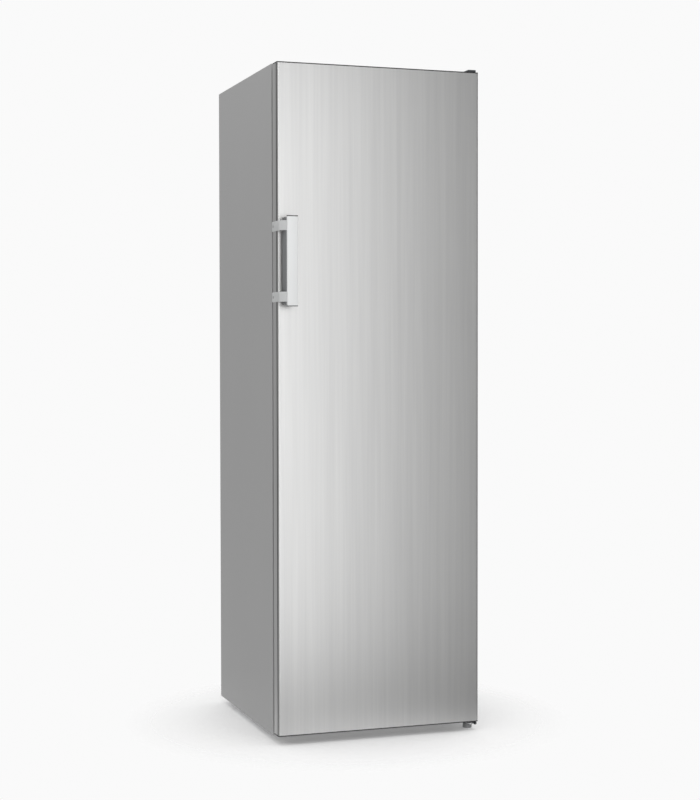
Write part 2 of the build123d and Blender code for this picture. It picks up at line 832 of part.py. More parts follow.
def defrost_heater():
    # tube under the coil with a sleeve at each end, held up from the floor and from the back wall
    y = cav_back - coil_gap - evaporator_deep / 2
    z = evaporator_low - heater_drop
    half = fin_count * fin_pitch / 2
    heater = rod_x(y, z, -half, half, tube_radius)
    for sign in (-1, 1):
        x0, x1 = sorted((sign * half, sign * (half - sleeve_long)))
        heater += rod_x(y, z, x0, x1, tube_radius + 3)
        x = sign * (half - sleeve_long / 2)
        heater += block(x - 4, x + 4, y - 3, y + 3, hump_top, z)
        heater += block(x - 4, x + 4, y - 3, cav_back - coil_gap - 3, z - 3, z + 3)
    return heater


def drain_tube():
    low = base_low + base_sheet + grommet_tall + compressor_tall + tray_tall * 0.8
    tube = rod(0, drain_y, low, hump_top, drain_radius)
    tube += rod(0, drain_y, hump_top, hump_top + 1.2, drain_radius + 5)
    return tube - rod(0, drain_y, low - 1, hump_top + 2, drain_radius - drain_wall)


# ---- controls ----
button_z = cav_top - control_tall / 2 - 4


def control_panel():
    half = cav_x - control_side
    low = cav_top - control_tall
    back = control_front + control_deep
    profile = outline([(control_front, low + 6), (control_front + 10, low), (back, low), (back, cav_top),
                       (control_front, cav_top)], [6, 6, 3, 0, 0])
    panel = side_view(profile, -half, half)
    w = control_wall
    hollow = outline([(control_front + w, low + 7), (control_front + 11, low + w), (back - w, low + w),
                      (back - w, cav_top + 1), (control_front + w, cav_top + 1)], [4, 4, 1, 0, 0])
    panel -= side_view(hollow, -half + w, half - w)
    for sign in (-1, 1):
        x = sign * button_pitch / 2
        panel -= rod_y(x, button_z, control_front - 1, control_front + w + 1, button_radius + play)
    screen = Pos(screen_x, button_z) * RectangleRounded(screen_wide, screen_tall, 4)
    panel -= front_view(screen, control_front - 1, control_front + 0.8)
    lens = RectangleRounded(lens_wide + 2 * run, lens_deep + 2 * run, 8)
    return panel - raised(Pos(0, lens_y) * lens, low - 1, low + w + 0.1)


def lamp_lens():
    low = cav_top - control_tall
    lens = raised(Pos(0, lens_y) * RectangleRounded(lens_wide, lens_deep, 8), low - 0.8, low + control_wall)
    lip = RectangleRounded(lens_wide + 2 * lens_lip, lens_deep + 2 * lens_lip, 8 + lens_lip)
    return lens + raised(Pos(0, lens_y) * lip, low + control_wall, low + control_wall + 1.2)


def button(sign):
    x = sign * button_pitch / 2
    front = control_front - button_proud
    cap = rod_y(x, button_z, front, front + button_long, button_radius)
    cap = chamfer(cap.edges().filter_by(GeomType.CIRCLE).sort_by(Axis.Y)[0], 0.6)
    catch = control_front + control_wall + play
    return cap + rod_y(x, button_z, catch, catch + 1.5, button_flange)


# ---- storage ----
level_floor = [floor_height] + [z + glass for z in shelf_z]
level_top = shelf_z + [store_top]


def drawer(i):
    # tapered tub with a rim, floor ribs and a front with a full-width hooked grip
    low = level_floor[i] + play
    high = level_top[i] - drawer_above
    back = (hump_front if i == 0 else duct_front) - drawer_behind
    tall = high - low
    half = drawer_x
    tub_front = drawer_front + front_wall - 0.5
    tub_low = low + rib_tall

    def tub_form(shrink, down):
        # the tub's plan at its rim, drawn in by shrink, drawn down with the walls leaning in
        side, y0, y1 = half - rim_out - shrink, tub_front + shrink, back - rim_out - shrink
        rim_plane = Plane(origin=(0, (y0 + y1) / 2, high), x_dir=(1, 0, 0), z_dir=(0, 0, -1))
        plan = rim_plane * RectangleRounded(2 * side, y1 - y0, drawer_corner - shrink)
        return extrude(plan, down, taper=drawer_lean)

    tub = tub_form(0, high - tub_low) - tub_form(drawer_wall, high - tub_low - drawer_wall)
    rim = outline([(-half, tub_front), (half, tub_front), (half, back), (-half, back)],
                  [0, 0, drawer_corner, drawer_corner])
    tub += raised(rim, high - rim_thick, high) - tub_form(drawer_wall, high - tub_low - drawer_wall)
    for k in range(rib_count):
        x = (k - (rib_count - 1) / 2) * (2 * (half - 40) / (rib_count - 1))
        tub += block(x - rib_wide / 2, x + rib_wide / 2, drawer_front + 40, back - 40, low, tub_low + 0.2)
    face, grip, w = drawer_front, grip_front, grip_wall
    profile = outline([(face, low + 4), (face + front_wall, low + 4), (face + front_wall, high), (grip, high),
                       (grip, high - grip_hook), (grip + w, high - grip_hook), (grip + w, high - w),
                       (face, high - w)], [0, 0, 0, 4, 0, 0, 2, 3])
    return tub + side_view(profile, -half, half)


# ---- machine recess ----
plate_top = base_low + base_sheet


def base_plate():
    # tray with turned-up edges, cut out over the rollers, with two cheeks down each roller's sides
    half = side_in
    base = block(-half, half, base_front, base_back, base_low, plate_top)
    base += block(-half, half, base_front, base_front + base_sheet, base_low, base_low + base_edge)
    for sign in (-1, 1):
        x0, x1 = sorted((sign * half, sign * (half - base_sheet)))
        base += block(x0, x1, base_front, base_back, base_low, base_low + base_edge)
        for side in (-1, 1):
            inner = sign * roller_x + side * (roller_wide / 2 + play)
            c0, c1 = sorted((inner, inner + side * cheek))
            foot, tip = ear_foot / 2, ear_tip / 2
            ear = outline([(roller_y - foot, base_low), (roller_y + foot, base_low), (roller_y + tip, ear_low),
                           (roller_y - tip, ear_low)])
            base += side_view(ear, c0, c1)
            base -= rod_x(roller_y, roller_radius, c0 - 1, c1 + 1, axle_radius + run)
    for x in (compressor_x - grommet_x, compressor_x + grommet_x):
        for y in (compressor_y - grommet_y, compressor_y + grommet_y):
            base -= rod(x, y, base_low - 1, plate_top + 1, grommet_neck + run)
    for i in range(base_slots):
        x = -roller_x + 26 + i * slot_pitch
        base -= block(x - 6, x + 6, base_front + 30, base_back - 60, base_low - 1, plate_top + 1)
    return base


def roller_axles():
    axles = []
    for sign in (-1, 1):
        half = roller_wide / 2 + play + cheek
        axle = rod_x(roller_y, roller_radius, sign * roller_x - half, sign * roller_x + half, axle_radius)
        for side in (-1, 1):
            end = sign * roller_x + side * half
            x0, x1 = sorted((end, end + side * 1.2))
            axle += rod_x(roller_y, roller_radius, x0, x1, axle_radius + 1.5)
        axles.append(axle.solid())
    return Compound(axles)


def roller(sign):
    x = sign * roller_x
    half = roller_wide / 2
    r = roller_radius
    profile = outline([(-half, axle_radius + run), (half, axle_radius + run), (half, r - 1.5), (half - 1.5, r),
                       (-half + 1.5, r), (-half, r - 1.5)])
    return Pos(x, roller_y, r) * revolve(profile, Axis.X)


feet_z = plate_top + grommet_tall
shell_top = feet_z + compressor_tall


def grommets():
    # rubber spools with a neck through the base plate and one through the compressor's feet
    spools = []
    for x in (compressor_x - grommet_x, compressor_x + grommet_x):
        for y in (compressor_y - grommet_y, compressor_y + grommet_y):
            spool = rod(x, y, plate_top, feet_z, grommet_radius)
            spool += rod(x, y, base_low - 1.5, feet_z + 4, grommet_neck)
            spool += rod(x, y, base_low - 4, base_low, grommet_neck + 2)
            spools.append(spool.solid())
    return Compound(spools)


def compressor_plan(grow):
    long, wide = compressor_long + 2 * grow, compressor_wide + 2 * grow
    return Pos(compressor_x, compressor_y) * RectangleRounded(long, wide, compressor_round + grow)


def compressor():
    # two deep-drawn halves joined at a weld flange, on a foot plate
    shell = raised(compressor_plan(0), feet_z + feet_thick, shell_top)
    shell = chamfer(shell.faces().sort_by(Axis.Z)[-1].edges(), *compressor_slope)
    seam = feet_z + compressor_tall * 0.55
    shell += raised(compressor_plan(weld_out), seam, seam + weld_tall)
    foot_shape = Pos(compressor_x, compressor_y) * RectangleRounded(feet_long, feet_wide, 16)
    feet = raised(foot_shape, feet_z, feet_z + feet_thick)
    for x in (compressor_x - grommet_x, compressor_x + grommet_x):
        for y in (compressor_y - grommet_y, compressor_y + grommet_y):
            feet -= rod(x, y, feet_z - 1, feet_z + feet_thick + 1, grommet_neck + run)
    return shell + feet


relay_x = compressor_x + compressor_long / 2


def relay_cover():
    # box on the compressor's right end, hollowed to its shell
    shape = Pos(relay_x + relay_long / 2 - 12, compressor_y) * RectangleRounded(relay_long, relay_wide, 6)
    return raised(shape - compressor_plan(0), feet_z + relay_low, feet_z + relay_low + relay_tall)


def evaporation_tray():
    here = Pos(compressor_x, compressor_y)
    outer = raised(here * RectangleRounded(tray_long, tray_wide, 14), shell_top, shell_top + tray_tall)
    inner = RectangleRounded(tray_long - 2 * tray_wall, tray_wide - 2 * tray_wall, 12)
    tray = outer - raised(here * inner, shell_top + tray_wall, shell_top + tray_tall + 1)
    lip = RectangleRounded(tray_long + 6, tray_wide + 6, 17) - RectangleRounded(tray_long - 2, tray_wide - 2, 13)
    return tray + raised(here * lip, shell_top + tray_tall - 2, shell_top + tray_tall)


def riser(x, y, z, out):
    # pipe that leaves the shell to the left at height z and bends up to the roof
    turn_x, turn_z = x - out + pipe_bend, z + pipe_bend
    lap = pipe_radius * 0.4
    pipe = rod_x(y, z, turn_x - lap, x, pipe_radius)
    pipe += rod(x - out, y, turn_z - lap, recess_top - sheet, pipe_radius)
    return pipe + rod_between((turn_x, y, z), (x - out, y, turn_z), pipe_radius)


def pipework():
    # suction pipe, and discharge pipe with its filter drier on the way up
    wall = compressor_x - compressor_long / 2
    suction = riser(wall, compressor_y + pipe_spread, feet_z + 50, suction_out)
    discharge = riser(wall, compressor_y - pipe_spread, feet_z + 30, discharge_out)
    drier_low = feet_z + drier_rise
    drier_high = drier_low + drier_long
    drier = rod(wall - discharge_out, compressor_y - pipe_spread, drier_low, drier_high, drier_radius)
    drier = chamfer(drier.edges().filter_by(GeomType.CIRCLE), 4)
    return Compound([suction.solid(), (discharge + drier).solid()])


def cord_gland():
    # strain relief standing on the base plate, with the cord's hole through it
    x, y = gland_x, base_back - gland_deep - 6
    half, high = gland_wide / 2, plate_top + gland_tall
    profile = outline([(x - half, plate_top), (x + half, plate_top), (x + half, high - 8), (x + half - 7, high),
                       (x - half + 7, high), (x - half, high - 8)])
    hole_z = plate_top + half
    gland = front_view(profile, y, y + gland_deep) + rod_y(x, hole_z, y - 4, y, cord_radius + 4)
    return gland - rod_y(x, hole_z, y - 5, y + gland_deep + 1, cord_radius)


# ---- feet ----
def foot(place, stud_top):
    x, y = place
    profile = outline([(0, 0), (foot_radius - 1, 0), (foot_radius, 1), (foot_radius - 1.5, foot_tall - 3),
                       (foot_radius - 4, foot_tall), (0, foot_tall)])
    pad = Pos(x, y, 0) * revolve(Plane.XZ * profile, Axis.Z)
    stud = rod(x, y, foot_tall, stud_top, stud_radius)
    return pad + stud


pieces = {
    "door_skin": door_skin(),
    "door_cap_top": door_cap(True),
    "door_cap_bottom": door_cap(False),
    "door_bushes": door_bushes(),
    "door_liner": door_inner_liner(),
    "door_foam": door_foam(),
    "door_seal": door_seal(),
    "handle_bar": handle_bar(),
    "handle_core": handle_core(),
    "handle_brackets": handle_brackets(),
    "handle_screws": handle_screws(),
    "hinge_bracket_top": upper_bracket(),
    "hinge_bracket_bottom": lower_bracket(),
    "hinge_screws": hinge_screws(),
    "hinge_cover": hinge_cover(),
    "hinge_clip": hinge_clip(),
    "side_panel_left": side_panel(-1),
    "side_panel_right": side_panel(1),
    "top_panel": top_panel(),
    "back_panel": back_panel(),
    "front_rail_top": upper_rail(),
    "front_rail_bottom": lower_rail(),
    "underside_panel": underside_panel(),
    "cabinet_foam": cabinet_foam(),
    "inner_liner": inner_liner(),
    "air_cover": air_cover(),
    "fan_motor": fan_motor(),
    "fan_rotor": fan_rotor(),
    "evaporator": evaporator(),
    "defrost_heater": defrost_heater(),
    "drain_tube": drain_tube(),
    "control_panel": control_panel(),
    "lamp_lens": lamp_lens(),
    "button_power": button(-1),
    "button_boost": button(1),
    "base_plate": base_plate(),
    "roller_axles": roller_axles(),
    "roller_left": roller(-1),
    "roller_right": roller(1),
    "grommets": grommets(),
    "compressor": compressor(),
    "relay_cover": relay_cover(),
    "evaporation_tray": evaporation_tray(),
    "pipework": pipework(),
    "cord_gland": cord_gland(),
    "foot_left": foot(left_foot, left_stud_top),
    "foot_right": foot(right_foot, door_low - 1),
}
for i in range(shelf_count):
    pieces[f"shelf_{i + 1}"] = shelf(i)
for i in range(shelf_count + 1):
    pieces[f"drawer_{i + 1}"] = drawer(i)

os.makedirs("parts", exist_ok=True)
for name, piece in pieces.items():
    export_step(Pos(-x_mid, -y_mid, 0) * piece, f"parts/{name}.step")
print(len(pieces), "pieces, moved by", round(-x_mid, 3), round(-y_mid, 3))
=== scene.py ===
import math

import bmesh
import bpy
from mathutils import Euler, Matrix, Vector


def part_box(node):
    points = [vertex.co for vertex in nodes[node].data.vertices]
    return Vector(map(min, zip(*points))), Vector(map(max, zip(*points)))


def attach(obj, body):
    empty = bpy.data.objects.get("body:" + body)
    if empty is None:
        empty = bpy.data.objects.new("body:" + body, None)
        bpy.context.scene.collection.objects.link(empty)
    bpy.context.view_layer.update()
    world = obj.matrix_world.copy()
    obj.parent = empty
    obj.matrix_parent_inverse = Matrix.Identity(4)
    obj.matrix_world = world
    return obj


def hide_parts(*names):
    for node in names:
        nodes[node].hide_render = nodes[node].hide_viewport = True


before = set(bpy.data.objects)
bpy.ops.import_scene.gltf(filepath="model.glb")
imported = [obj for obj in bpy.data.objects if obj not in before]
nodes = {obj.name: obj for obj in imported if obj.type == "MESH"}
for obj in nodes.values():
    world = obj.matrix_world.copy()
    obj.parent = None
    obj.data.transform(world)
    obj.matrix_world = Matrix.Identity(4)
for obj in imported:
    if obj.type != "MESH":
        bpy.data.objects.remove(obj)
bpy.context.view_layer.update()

print("frame loaded:", len(nodes), "nodes")


# a socket that takes part in Python sums: each operator adds its own Math node
class Wire:
    def __init__(self, finish, socket):
        self.finish = finish
        self.socket = socket

    def maths(self, operation, *others):
        values = dict(enumerate((self,) + others))
        return self.finish.add("ShaderNodeMath", {"operation": operation}, values)

    def __add__(self, other):
        return self.maths("ADD", other)

    def __radd__(self, other):
        return self.maths("ADD", other)

    def __sub__(self, other):
        return self.maths("SUBTRACT", other)

    def __rsub__(self, other):
        return self.finish.number(other).maths("SUBTRACT", self)

    def __mul__(self, other):
        return self.maths("MULTIPLY", other)

    def __rmul__(self, other):
        return self.maths("MULTIPLY", other)

    def __pow__(self, other):
        return self.maths("POWER", other)

    def above(self, level):
        return self.maths("GREATER_THAN", level)

    def size(self):
        return self.maths("ABSOLUTE")


# one material: add() makes any node, and the sockets of its shader are set by name
class Finish:
    def __init__(self, name, **values):
        self.material = bpy.data.materials.new(name)
        self.material.use_nodes = True
        self.tree = self.material.node_tree
        self.shader = self.tree.nodes["Principled BSDF"]
        self.set(**values)

    def add(self, kind, settings=None, values=None, out=0):
        node = self.tree.nodes.new(kind)
        for key, value in (settings or {}).items():
            setattr(node, key, value)
        for key, value in (values or {}).items():
            if isinstance(value, Wire):
                self.tree.links.new(value.socket, node.inputs[key])
            else:
                node.inputs[key].default_value = value
        return Wire(self, node.outputs[out])

    def set(self, **values):
        for key, value in values.items():
            socket = self.shader.inputs[key.replace("_", " ")]
            if isinstance(value, Wire):
                self.tree.links.new(value.socket, socket)
            else:
                socket.default_value = value

    def number(self, value):
        return self.add("ShaderNodeMath", {"operation": "ADD"}, {0: value, 1: 0.0})

    def place(self, scale=(1, 1, 1)):
        spot = self.add("ShaderNodeTexCoord", out="Object")
        return self.add("ShaderNodeMapping", {}, {"Vector": spot, "Scale": scale})

    def noise(self, scale, detail=2.0, stretch=(1, 1, 1), rough=0.5):
        values = {"Vector": self.place(stretch), "Scale": scale, "Detail": detail, "Roughness": rough}
        return self.add("ShaderNodeTexNoise", {}, values)

    def across(self, axis):
        spot = self.add("ShaderNodeTexCoord", out="Object")
        return self.add("ShaderNodeSeparateXYZ", {}, {"Vector": spot}, axis)

    def spread(self, value, low, high, fromLow=0.0, fromHigh=1.0):
        limits = {"Value": value, "To Min": low, "To Max": high, "From Min": fromLow, "From Max": fromHigh}
        return self.add("ShaderNodeMapRange", {"clamp": True}, limits)

    def blend(self, share, first, second):
        values = {"Factor": share, 6: first, 7: second}  # 6 and 7 are the colour sockets
        return self.add("ShaderNodeMix", {"data_type": "RGBA"}, values, 2)

    def bumps(self, height, strength, distance):
        values = {"Height": height, "Strength": strength, "Distance": distance}
        self.set(Normal=self.add("ShaderNodeBump", {}, values))


def grey(level):
    return (level, level, level, 1)


# finishes
doorSteel = {"light": (0.62, 0.62, 0.6138, 1), "dark": (0.52, 0.52, 0.52, 1), "rough": (0.34, 0.42),
             "pull": 0.4, "grainScale": 900, "grainLong": 0.006, "grainRough": 0.65,
             "grainLift": (0.18, 0.00004), "streakScale": 38, "streakLong": 0.018, "lineScale": 170,
             "lineLong": 0.012, "noiseRange": (0.3, 0.7), "shares": (0.4, 0.3, 0.3),
             "smudgeScale": 5, "smudgeShare": 0.3,
             # the next two lines set where the folds get a painted dark reflection and how much painted
             # shade the door's sides get
             "fold": 0.0007, "foldBlur": 0.0005, "foldDeep": 0.0085, "foldSoft": 0.0015, "foldShadeTone": 0.035,
             "sideShadeShare": 0.18}


def makeDoorSteel():
    f = Finish("brushedDoorSteel", Metallic=1.0, Anisotropic=doorSteel["pull"])

    def stripes(kind):
        noise = f.noise(doorSteel[kind + "Scale"], stretch=(1, 1, doorSteel[kind + "Long"]))
        return f.spread(noise, 0, 1, *doorSteel["noiseRange"])
    grain = f.noise(doorSteel["grainScale"], 3.0, (1, 1, doorSteel["grainLong"]), doorSteel["grainRough"])
    fine, broad, thin = doorSteel["shares"]
    share = grain * fine + stripes("streak") * broad + stripes("line") * thin
    tone = f.blend(share, doorSteel["dark"], doorSteel["light"])
    # painted reflection and shade: both upright folds get a painted dark reflection, and the door's sides
    # get painted shade that fades toward the back
    low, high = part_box("door_skin")
    edge = (high.x - low.x) / 2 - doorSteel["fold"]
    aside = (f.across(0) - (low.x + high.x) / 2).size()
    onSide = f.spread(aside, 0, 1, edge, edge + doorSteel["foldBlur"])
    back = low.y + doorSteel["foldDeep"]
    band = f.spread(f.across(1), 1, 0, back, back + doorSteel["foldSoft"])
    shade = band.maths("MAXIMUM", f.spread(f.across(1), doorSteel["sideShadeShare"], 0, back, high.y))
    tone = f.blend(onSide * shade, tone, grey(doorSteel["foldShadeTone"]))
    smudge = f.noise(doorSteel["smudgeScale"], 3.0)
    blur = grain * (1 - doorSteel["smudgeShare"]) + smudge * doorSteel["smudgeShare"]
    f.set(Base_Color=tone, Roughness=f.spread(blur, *doorSteel["rough"]))
    f.bumps(grain, *doorSteel["grainLift"])
    return f.material


sidePaint = {"tone": 0.40, "drift": 0.015, "driftScale": 3, "rough": (0.42, 0.50), "shine": 0.45,
             "peelScale": 420, "peelLift": (0.12, 0.0002)}


def makeSidePaint():
    f = Finish("satinSidePaint", Specular_IOR_Level=sidePaint["shine"])
    peel = f.noise(sidePaint["peelScale"])
    drift = f.noise(sidePaint["driftScale"])
    low, high = (grey(sidePaint["tone"] * (1 + way * sidePaint["drift"])) for way in (-1, 1))
    f.set(Base_Color=f.blend(drift, low, high), Roughness=f.spread(peel, *sidePaint["rough"]))
    f.bumps(peel, *sidePaint["peelLift"])
    return f.material


plastic = {"cloudScale": 12, "cloudShare": 0.5, "deep": 0.0001}


def makePlastic(name, colour, rough=(0.38, 0.5), scale=700, lift=0.1, spread=0.06, metal=0.0, **more):
    f = Finish(name, Metallic=metal, **more)
    fine = f.noise(scale)
    cloud = f.noise(plastic["cloudScale"])
    low = tuple(c * (1 - spread) for c in colour[:3]) + (1,)
    high = tuple(min(1, c * (1 + spread)) for c in colour[:3]) + (1,)
    share = cloud * plastic["cloudShare"] + fine * (1 - plastic["cloudShare"])
    f.set(Base_Color=f.blend(share, low, high), Roughness=f.spread(fine, *rough))
    f.bumps(fine, lift, plastic["deep"])
    return f.material


zinc = {"dark": (0.5, 0.5, 0.51, 1), "light": (0.62, 0.62, 0.6324, 1), "rough": (0.38, 0.48),
        "spangleScale": 160, "grainScale": 900, "grainLift": (0.05, 0.0001)}


def makeZinc():
    f = Finish("zincPlate", Metallic=1.0)
    values = {"Vector": f.place(), "Scale": zinc["spangleScale"]}
    spangle = f.add("ShaderNodeTexVoronoi", {}, values, 1)
    share = f.add("ShaderNodeSeparateColor", {}, {"Color": spangle}, 0)
    f.set(Base_Color=f.blend(share, zinc["dark"], zinc["light"]))
    f.set(Roughness=f.spread(share, *zinc["rough"]))
    f.bumps(f.noise(zinc["grainScale"]), *zinc["grainLift"])
    return f.material


clear = {"bend": 1.5, "roughMore": 0.06, "cloudScale": 8, "cloud": 0.03, "grainScale": 900,
         "grainLift": (0.06, 0.0001)}


def makeClear(name, tint, alpha, rough):
    f = Finish(name, IOR=clear["bend"])
    fine = f.noise(clear["grainScale"])
    f.set(Base_Color=tint, Roughness=f.spread(fine, rough, rough + clear["roughMore"]))
    f.set(Alpha=f.spread(f.noise(clear["cloudScale"]), alpha - clear["cloud"], alpha + clear["cloud"]))
    f.bumps(fine, *clear["grainLift"])
    return f.material


foam = {"light": (0.88, 0.80, 0.58, 1), "dark": (0.74, 0.65, 0.42, 1), "rough": 0.95, "cellScale": 900,
        "cellLift": (0.4, 0.0004)}


def makeFoam():
    f = Finish("rigidFoam", Roughness=foam["rough"])
    values = {"Vector": f.place(), "Scale": foam["cellScale"]}
    cells = f.add("ShaderNodeTexVoronoi", {}, values, 0)
    f.set(Base_Color=f.blend(cells, foam["light"], foam["dark"]))
    f.bumps(cells, *foam["cellLift"])
    return f.material


fins = {"dark": 0.62, "light": 0.8, "rough": (0.28, 0.5), "frostScale": 220, "frostLift": (0.1, 0.0002)}


def makeFins():
    f = Finish("finMetal", Metallic=1.0)
    frost = f.noise(fins["frostScale"], 4.0)
    f.set(Base_Color=f.blend(frost, grey(fins["dark"]), grey(fins["light"])))
    f.set(Roughness=f.spread(frost, *fins["rough"]))
    f.bumps(frost, *fins["frostLift"])
    return f.material


handleDark = {"profile": (0.195, 0.2, 0.205, 1), "caps": (0.02, 0.02, 0.021, 1), "capTall": 0.0045,
              "shine": 0.3, "rough": (0.4, 0.52), "grainScale": 700, "grainLift": (0.1, 0.0001)}


def makeHandleDark():
    f = Finish("handleInnerPlastic", Specular_IOR_Level=handleDark["shine"])
    fine = f.noise(handleDark["grainScale"])
    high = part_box("handle_core")[1]
    # painted shade: the inner profile's top end is painted near-black, while its bottom end keeps the
    # profile's grey
    isCap = f.across(2).above(high.z - handleDark["capTall"])
    f.set(Base_Color=f.blend(isCap, handleDark["profile"], handleDark["caps"]))
    f.set(Roughness=f.spread(fine, *handleDark["rough"]))
    f.bumps(fine, *handleDark["grainLift"])
    return f.material


# a plastic has its name, colour, roughness, grain scale, lift, spread of colour and share of metal
finishes = {
    "doorSteel": makeDoorSteel(),
    "sidePaint": makeSidePaint(),
    "backSheet": makePlastic("backSheetPaint", (0.62, 0.63, 0.64), (0.35, 0.45), 300, 0.08, 0.03),
    "zinc": makeZinc(),
    "bar": makePlastic("handleBarAlloy", (0.78, 0.79, 0.79), (0.42, 0.5), 900, 0.06, 0.03, 0.05),
    "handleDark": makeHandleDark(),
    "footDark": makePlastic("footPlastic", (0.30, 0.303, 0.307), (0.45, 0.6), 400, 0.2),
    "bracketGrey": makePlastic("bracketPlate", (0.60, 0.61, 0.61), (0.36, 0.46)),
    "screwDark": makePlastic("screwSteel", (0.20, 0.20, 0.21), (0.3, 0.42), 900, 0.08, 0.1, 0.9),
    "pilot": makePlastic("pilotLamp", (0.2, 0.7, 0.3), (0.2, 0.3), Emission_Color=(0.1, 0.9, 0.25, 1),
                         Emission_Strength=0.7),
    "black": makePlastic("blackPlastic", (0.03, 0.032, 0.035), (0.4, 0.55), 500, 0.2),
    "trim": makePlastic("doorTrim", (0.05, 0.05, 0.052), (0.6, 0.7), 500, 0.15, Specular_IOR_Level=0.25),
    "displayDark": makePlastic("displayGlass", (0.012, 0.014, 0.016), (0.06, 0.1), 300, 0.02,
                               Coat_Weight=0.6),
    "coverDark": makePlastic("coverPlastic", (0.06, 0.065, 0.07), (0.4, 0.5), 500, 0.2),
    "liner": makePlastic("linerWhite", (0.86, 0.87, 0.87), (0.22, 0.32), 500, 0.05, 0.015, Coat_Weight=0.2),
    "panelWhite": makePlastic("panelWhite", (0.80, 0.81, 0.82), (0.3, 0.4), 700, 0.06, 0.02),
    "buttonGrey": makePlastic("buttonGrey", (0.45, 0.46, 0.47), (0.3, 0.4)),
    "drawer": makeClear("drawerPlastic", (0.80, 0.88, 0.92, 1), 0.42, 0.14),
    "shelfGlass": makeClear("shelfGlass", (0.72, 0.88, 0.84, 1), 0.3, 0.03),
    "lens": makeClear("lampLens", (0.95, 0.95, 0.92, 1), 0.8, 0.35),
    "seal": makePlastic("sealRubber", (0.14, 0.14, 0.145), (0.55, 0.7), 400, 0.1),
    "foam": makeFoam(),
    "fins": makeFins(),
    "shellBlack": makePlastic("compressorPaint", (0.015, 0.015, 0.017), (0.28, 0.42), 240, 0.15, 0.2),
    "rubber": makePlastic("grommetRubber", (0.03, 0.03, 0.03), (0.7, 0.85), 300, 0.3),
    "copper": makePlastic("copperPipe", (0.72, 0.36, 0.22), (0.25, 0.4), 120, 0.05, 0.15, 1.0),
    "roller": makePlastic("rollerNylon", (0.05, 0.05, 0.055), (0.45, 0.6), 300, 0.2),
}

wears = {
    "doorSteel": ["door_skin"],
    "sidePaint": ["side_panel_left", "side_panel_right", "top_panel", "front_rail_top",
                  "front_rail_bottom"],
    "backSheet": ["back_panel", "underside_panel"],
    "zinc": ["hinge_bracket_top", "hinge_bracket_bottom", "hinge_screws", "handle_screws", "base_plate",
             "roller_axles", "defrost_heater"],
    "bar": ["handle_bar"],
    "handleDark": ["handle_core"],
    "footDark": ["foot_left", "foot_right"],
    "bracketGrey": ["handle_brackets"],
    "black": ["door_cap_top", "door_cap_bottom", "door_bushes", "drain_tube", "relay_cover",
              "evaporation_tray", "cord_gland"],
    "coverDark": ["hinge_cover", "hinge_clip"],
    "liner": ["door_liner", "inner_liner", "air_cover", "fan_motor"],
    "panelWhite": ["control_panel"],
    "buttonGrey": ["button_power", "button_boost", "fan_rotor"],
    "drawer": [name for name in nodes if name.startswith("drawer_")],
    "shelfGlass": [name for name in nodes if name.startswith("shelf_")],
    "lens": ["lamp_lens"],
    "seal": ["door_seal"],
    "foam": ["door_foam", "cabinet_foam"],
    "fins": ["evaporator"],
    "shellBlack": ["compressor"],
    "rubber": ["grommets"],
    "copper": ["pipework"],
    "roller": ["roller_left", "roller_right"],
}


def dress(piece, finish):
    piece.data.materials.clear()
    piece.data.materials.append(finishes[finish])


for finish, names in wears.items():
    for name in names:
        dress(nodes[name], finish)
print("finishes made:", len(finishes))


# hand tools: picking, primitives, copies and finishing
def letGo():
    if bpy.context.mode != "OBJECT":
        bpy.ops.object.mode_set(mode="OBJECT")
    bpy.ops.object.select_all(action="DESELECT")


def take(*pieces):
    letGo()
    for piece in pieces:
        piece.select_set(True)
    bpy.context.view_layer.objects.active = pieces[0]


def pick(piece, kind, test):
    take(piece)
    bpy.ops.object.mode_set(mode="EDIT")
    bpy.ops.mesh.select_mode(type=kind)
    bpy.ops.mesh.select_all(action="DESELECT")
    mesh = bmesh.from_edit_mesh(piece.data)
    for part in {"FACE": mesh.faces, "EDGE": mesh.edges, "VERT": mesh.verts}[kind]:
        if test(part):
            part.select = True
    mesh.select_flush_mode()
    bmesh.update_edit_mesh(piece.data)


def faces(piece, way, least=0.9):
    aim = Vector(way)
    pick(piece, "FACE", lambda f: f.normal.dot(aim) > least)


def block(name, low, high):
    letGo()
    low, high = Vector(low), Vector(high)
    bpy.ops.mesh.primitive_cube_add(size=1, location=(low + high) / 2)
    piece = bpy.context.object
    piece.name = name
    piece.scale = high - low
    bpy.ops.object.transform_apply(location=True, rotation=True, scale=True)
    return piece


def drum(name, centre, radius, long, along="Z", sides=64):
    letGo()
    turn = {"X": (0, math.pi / 2, 0), "Y": (math.pi / 2, 0, 0), "Z": (0, 0, 0)}[along]
    bpy.ops.mesh.primitive_cylinder_add(vertices=sides, radius=radius, depth=long, location=centre,
                                        rotation=turn)
    piece = bpy.context.object
    piece.name = name
    bpy.ops.object.transform_apply(location=True, rotation=True, scale=True)
    return piece


def roundEdges(piece, width, segments=3, test=None, sharp=30):
    def wanted(edge):
        if not edge.is_manifold or edge.calc_face_angle(0) < math.radians(sharp):
            return False
        first, second = (spot.co for spot in edge.verts)
        return test is None or test((first + second) / 2, second - first)
    pick(piece, "EDGE", wanted)
    bpy.ops.mesh.bevel(offset=width, segments=segments, affect="EDGES", clamp_overlap=True)
    letGo()


# a test for edges that run along one axis
def runsAlong(axis):
    return lambda spot, way: abs(way[axis]) > 0.9 * way.length


def push(distance):
    bpy.ops.mesh.extrude_region_move(TRANSFORM_OT_translate={"value": distance})


def join(*pieces):
    take(*pieces)
    bpy.ops.object.join()
    return pieces[0]


def twin(piece, name, shift=(0, 0, 0)):
    other = piece.copy()
    other.data = piece.data.copy()
    other.name = name
    bpy.context.scene.collection.objects.link(other)
    other.data.transform(Matrix.Translation(Vector(shift)))
    return other


weld = {"own": 0.000008, "copy": 0.000005, "flatDegrees": 0.6}


def isAny(part):
    return True


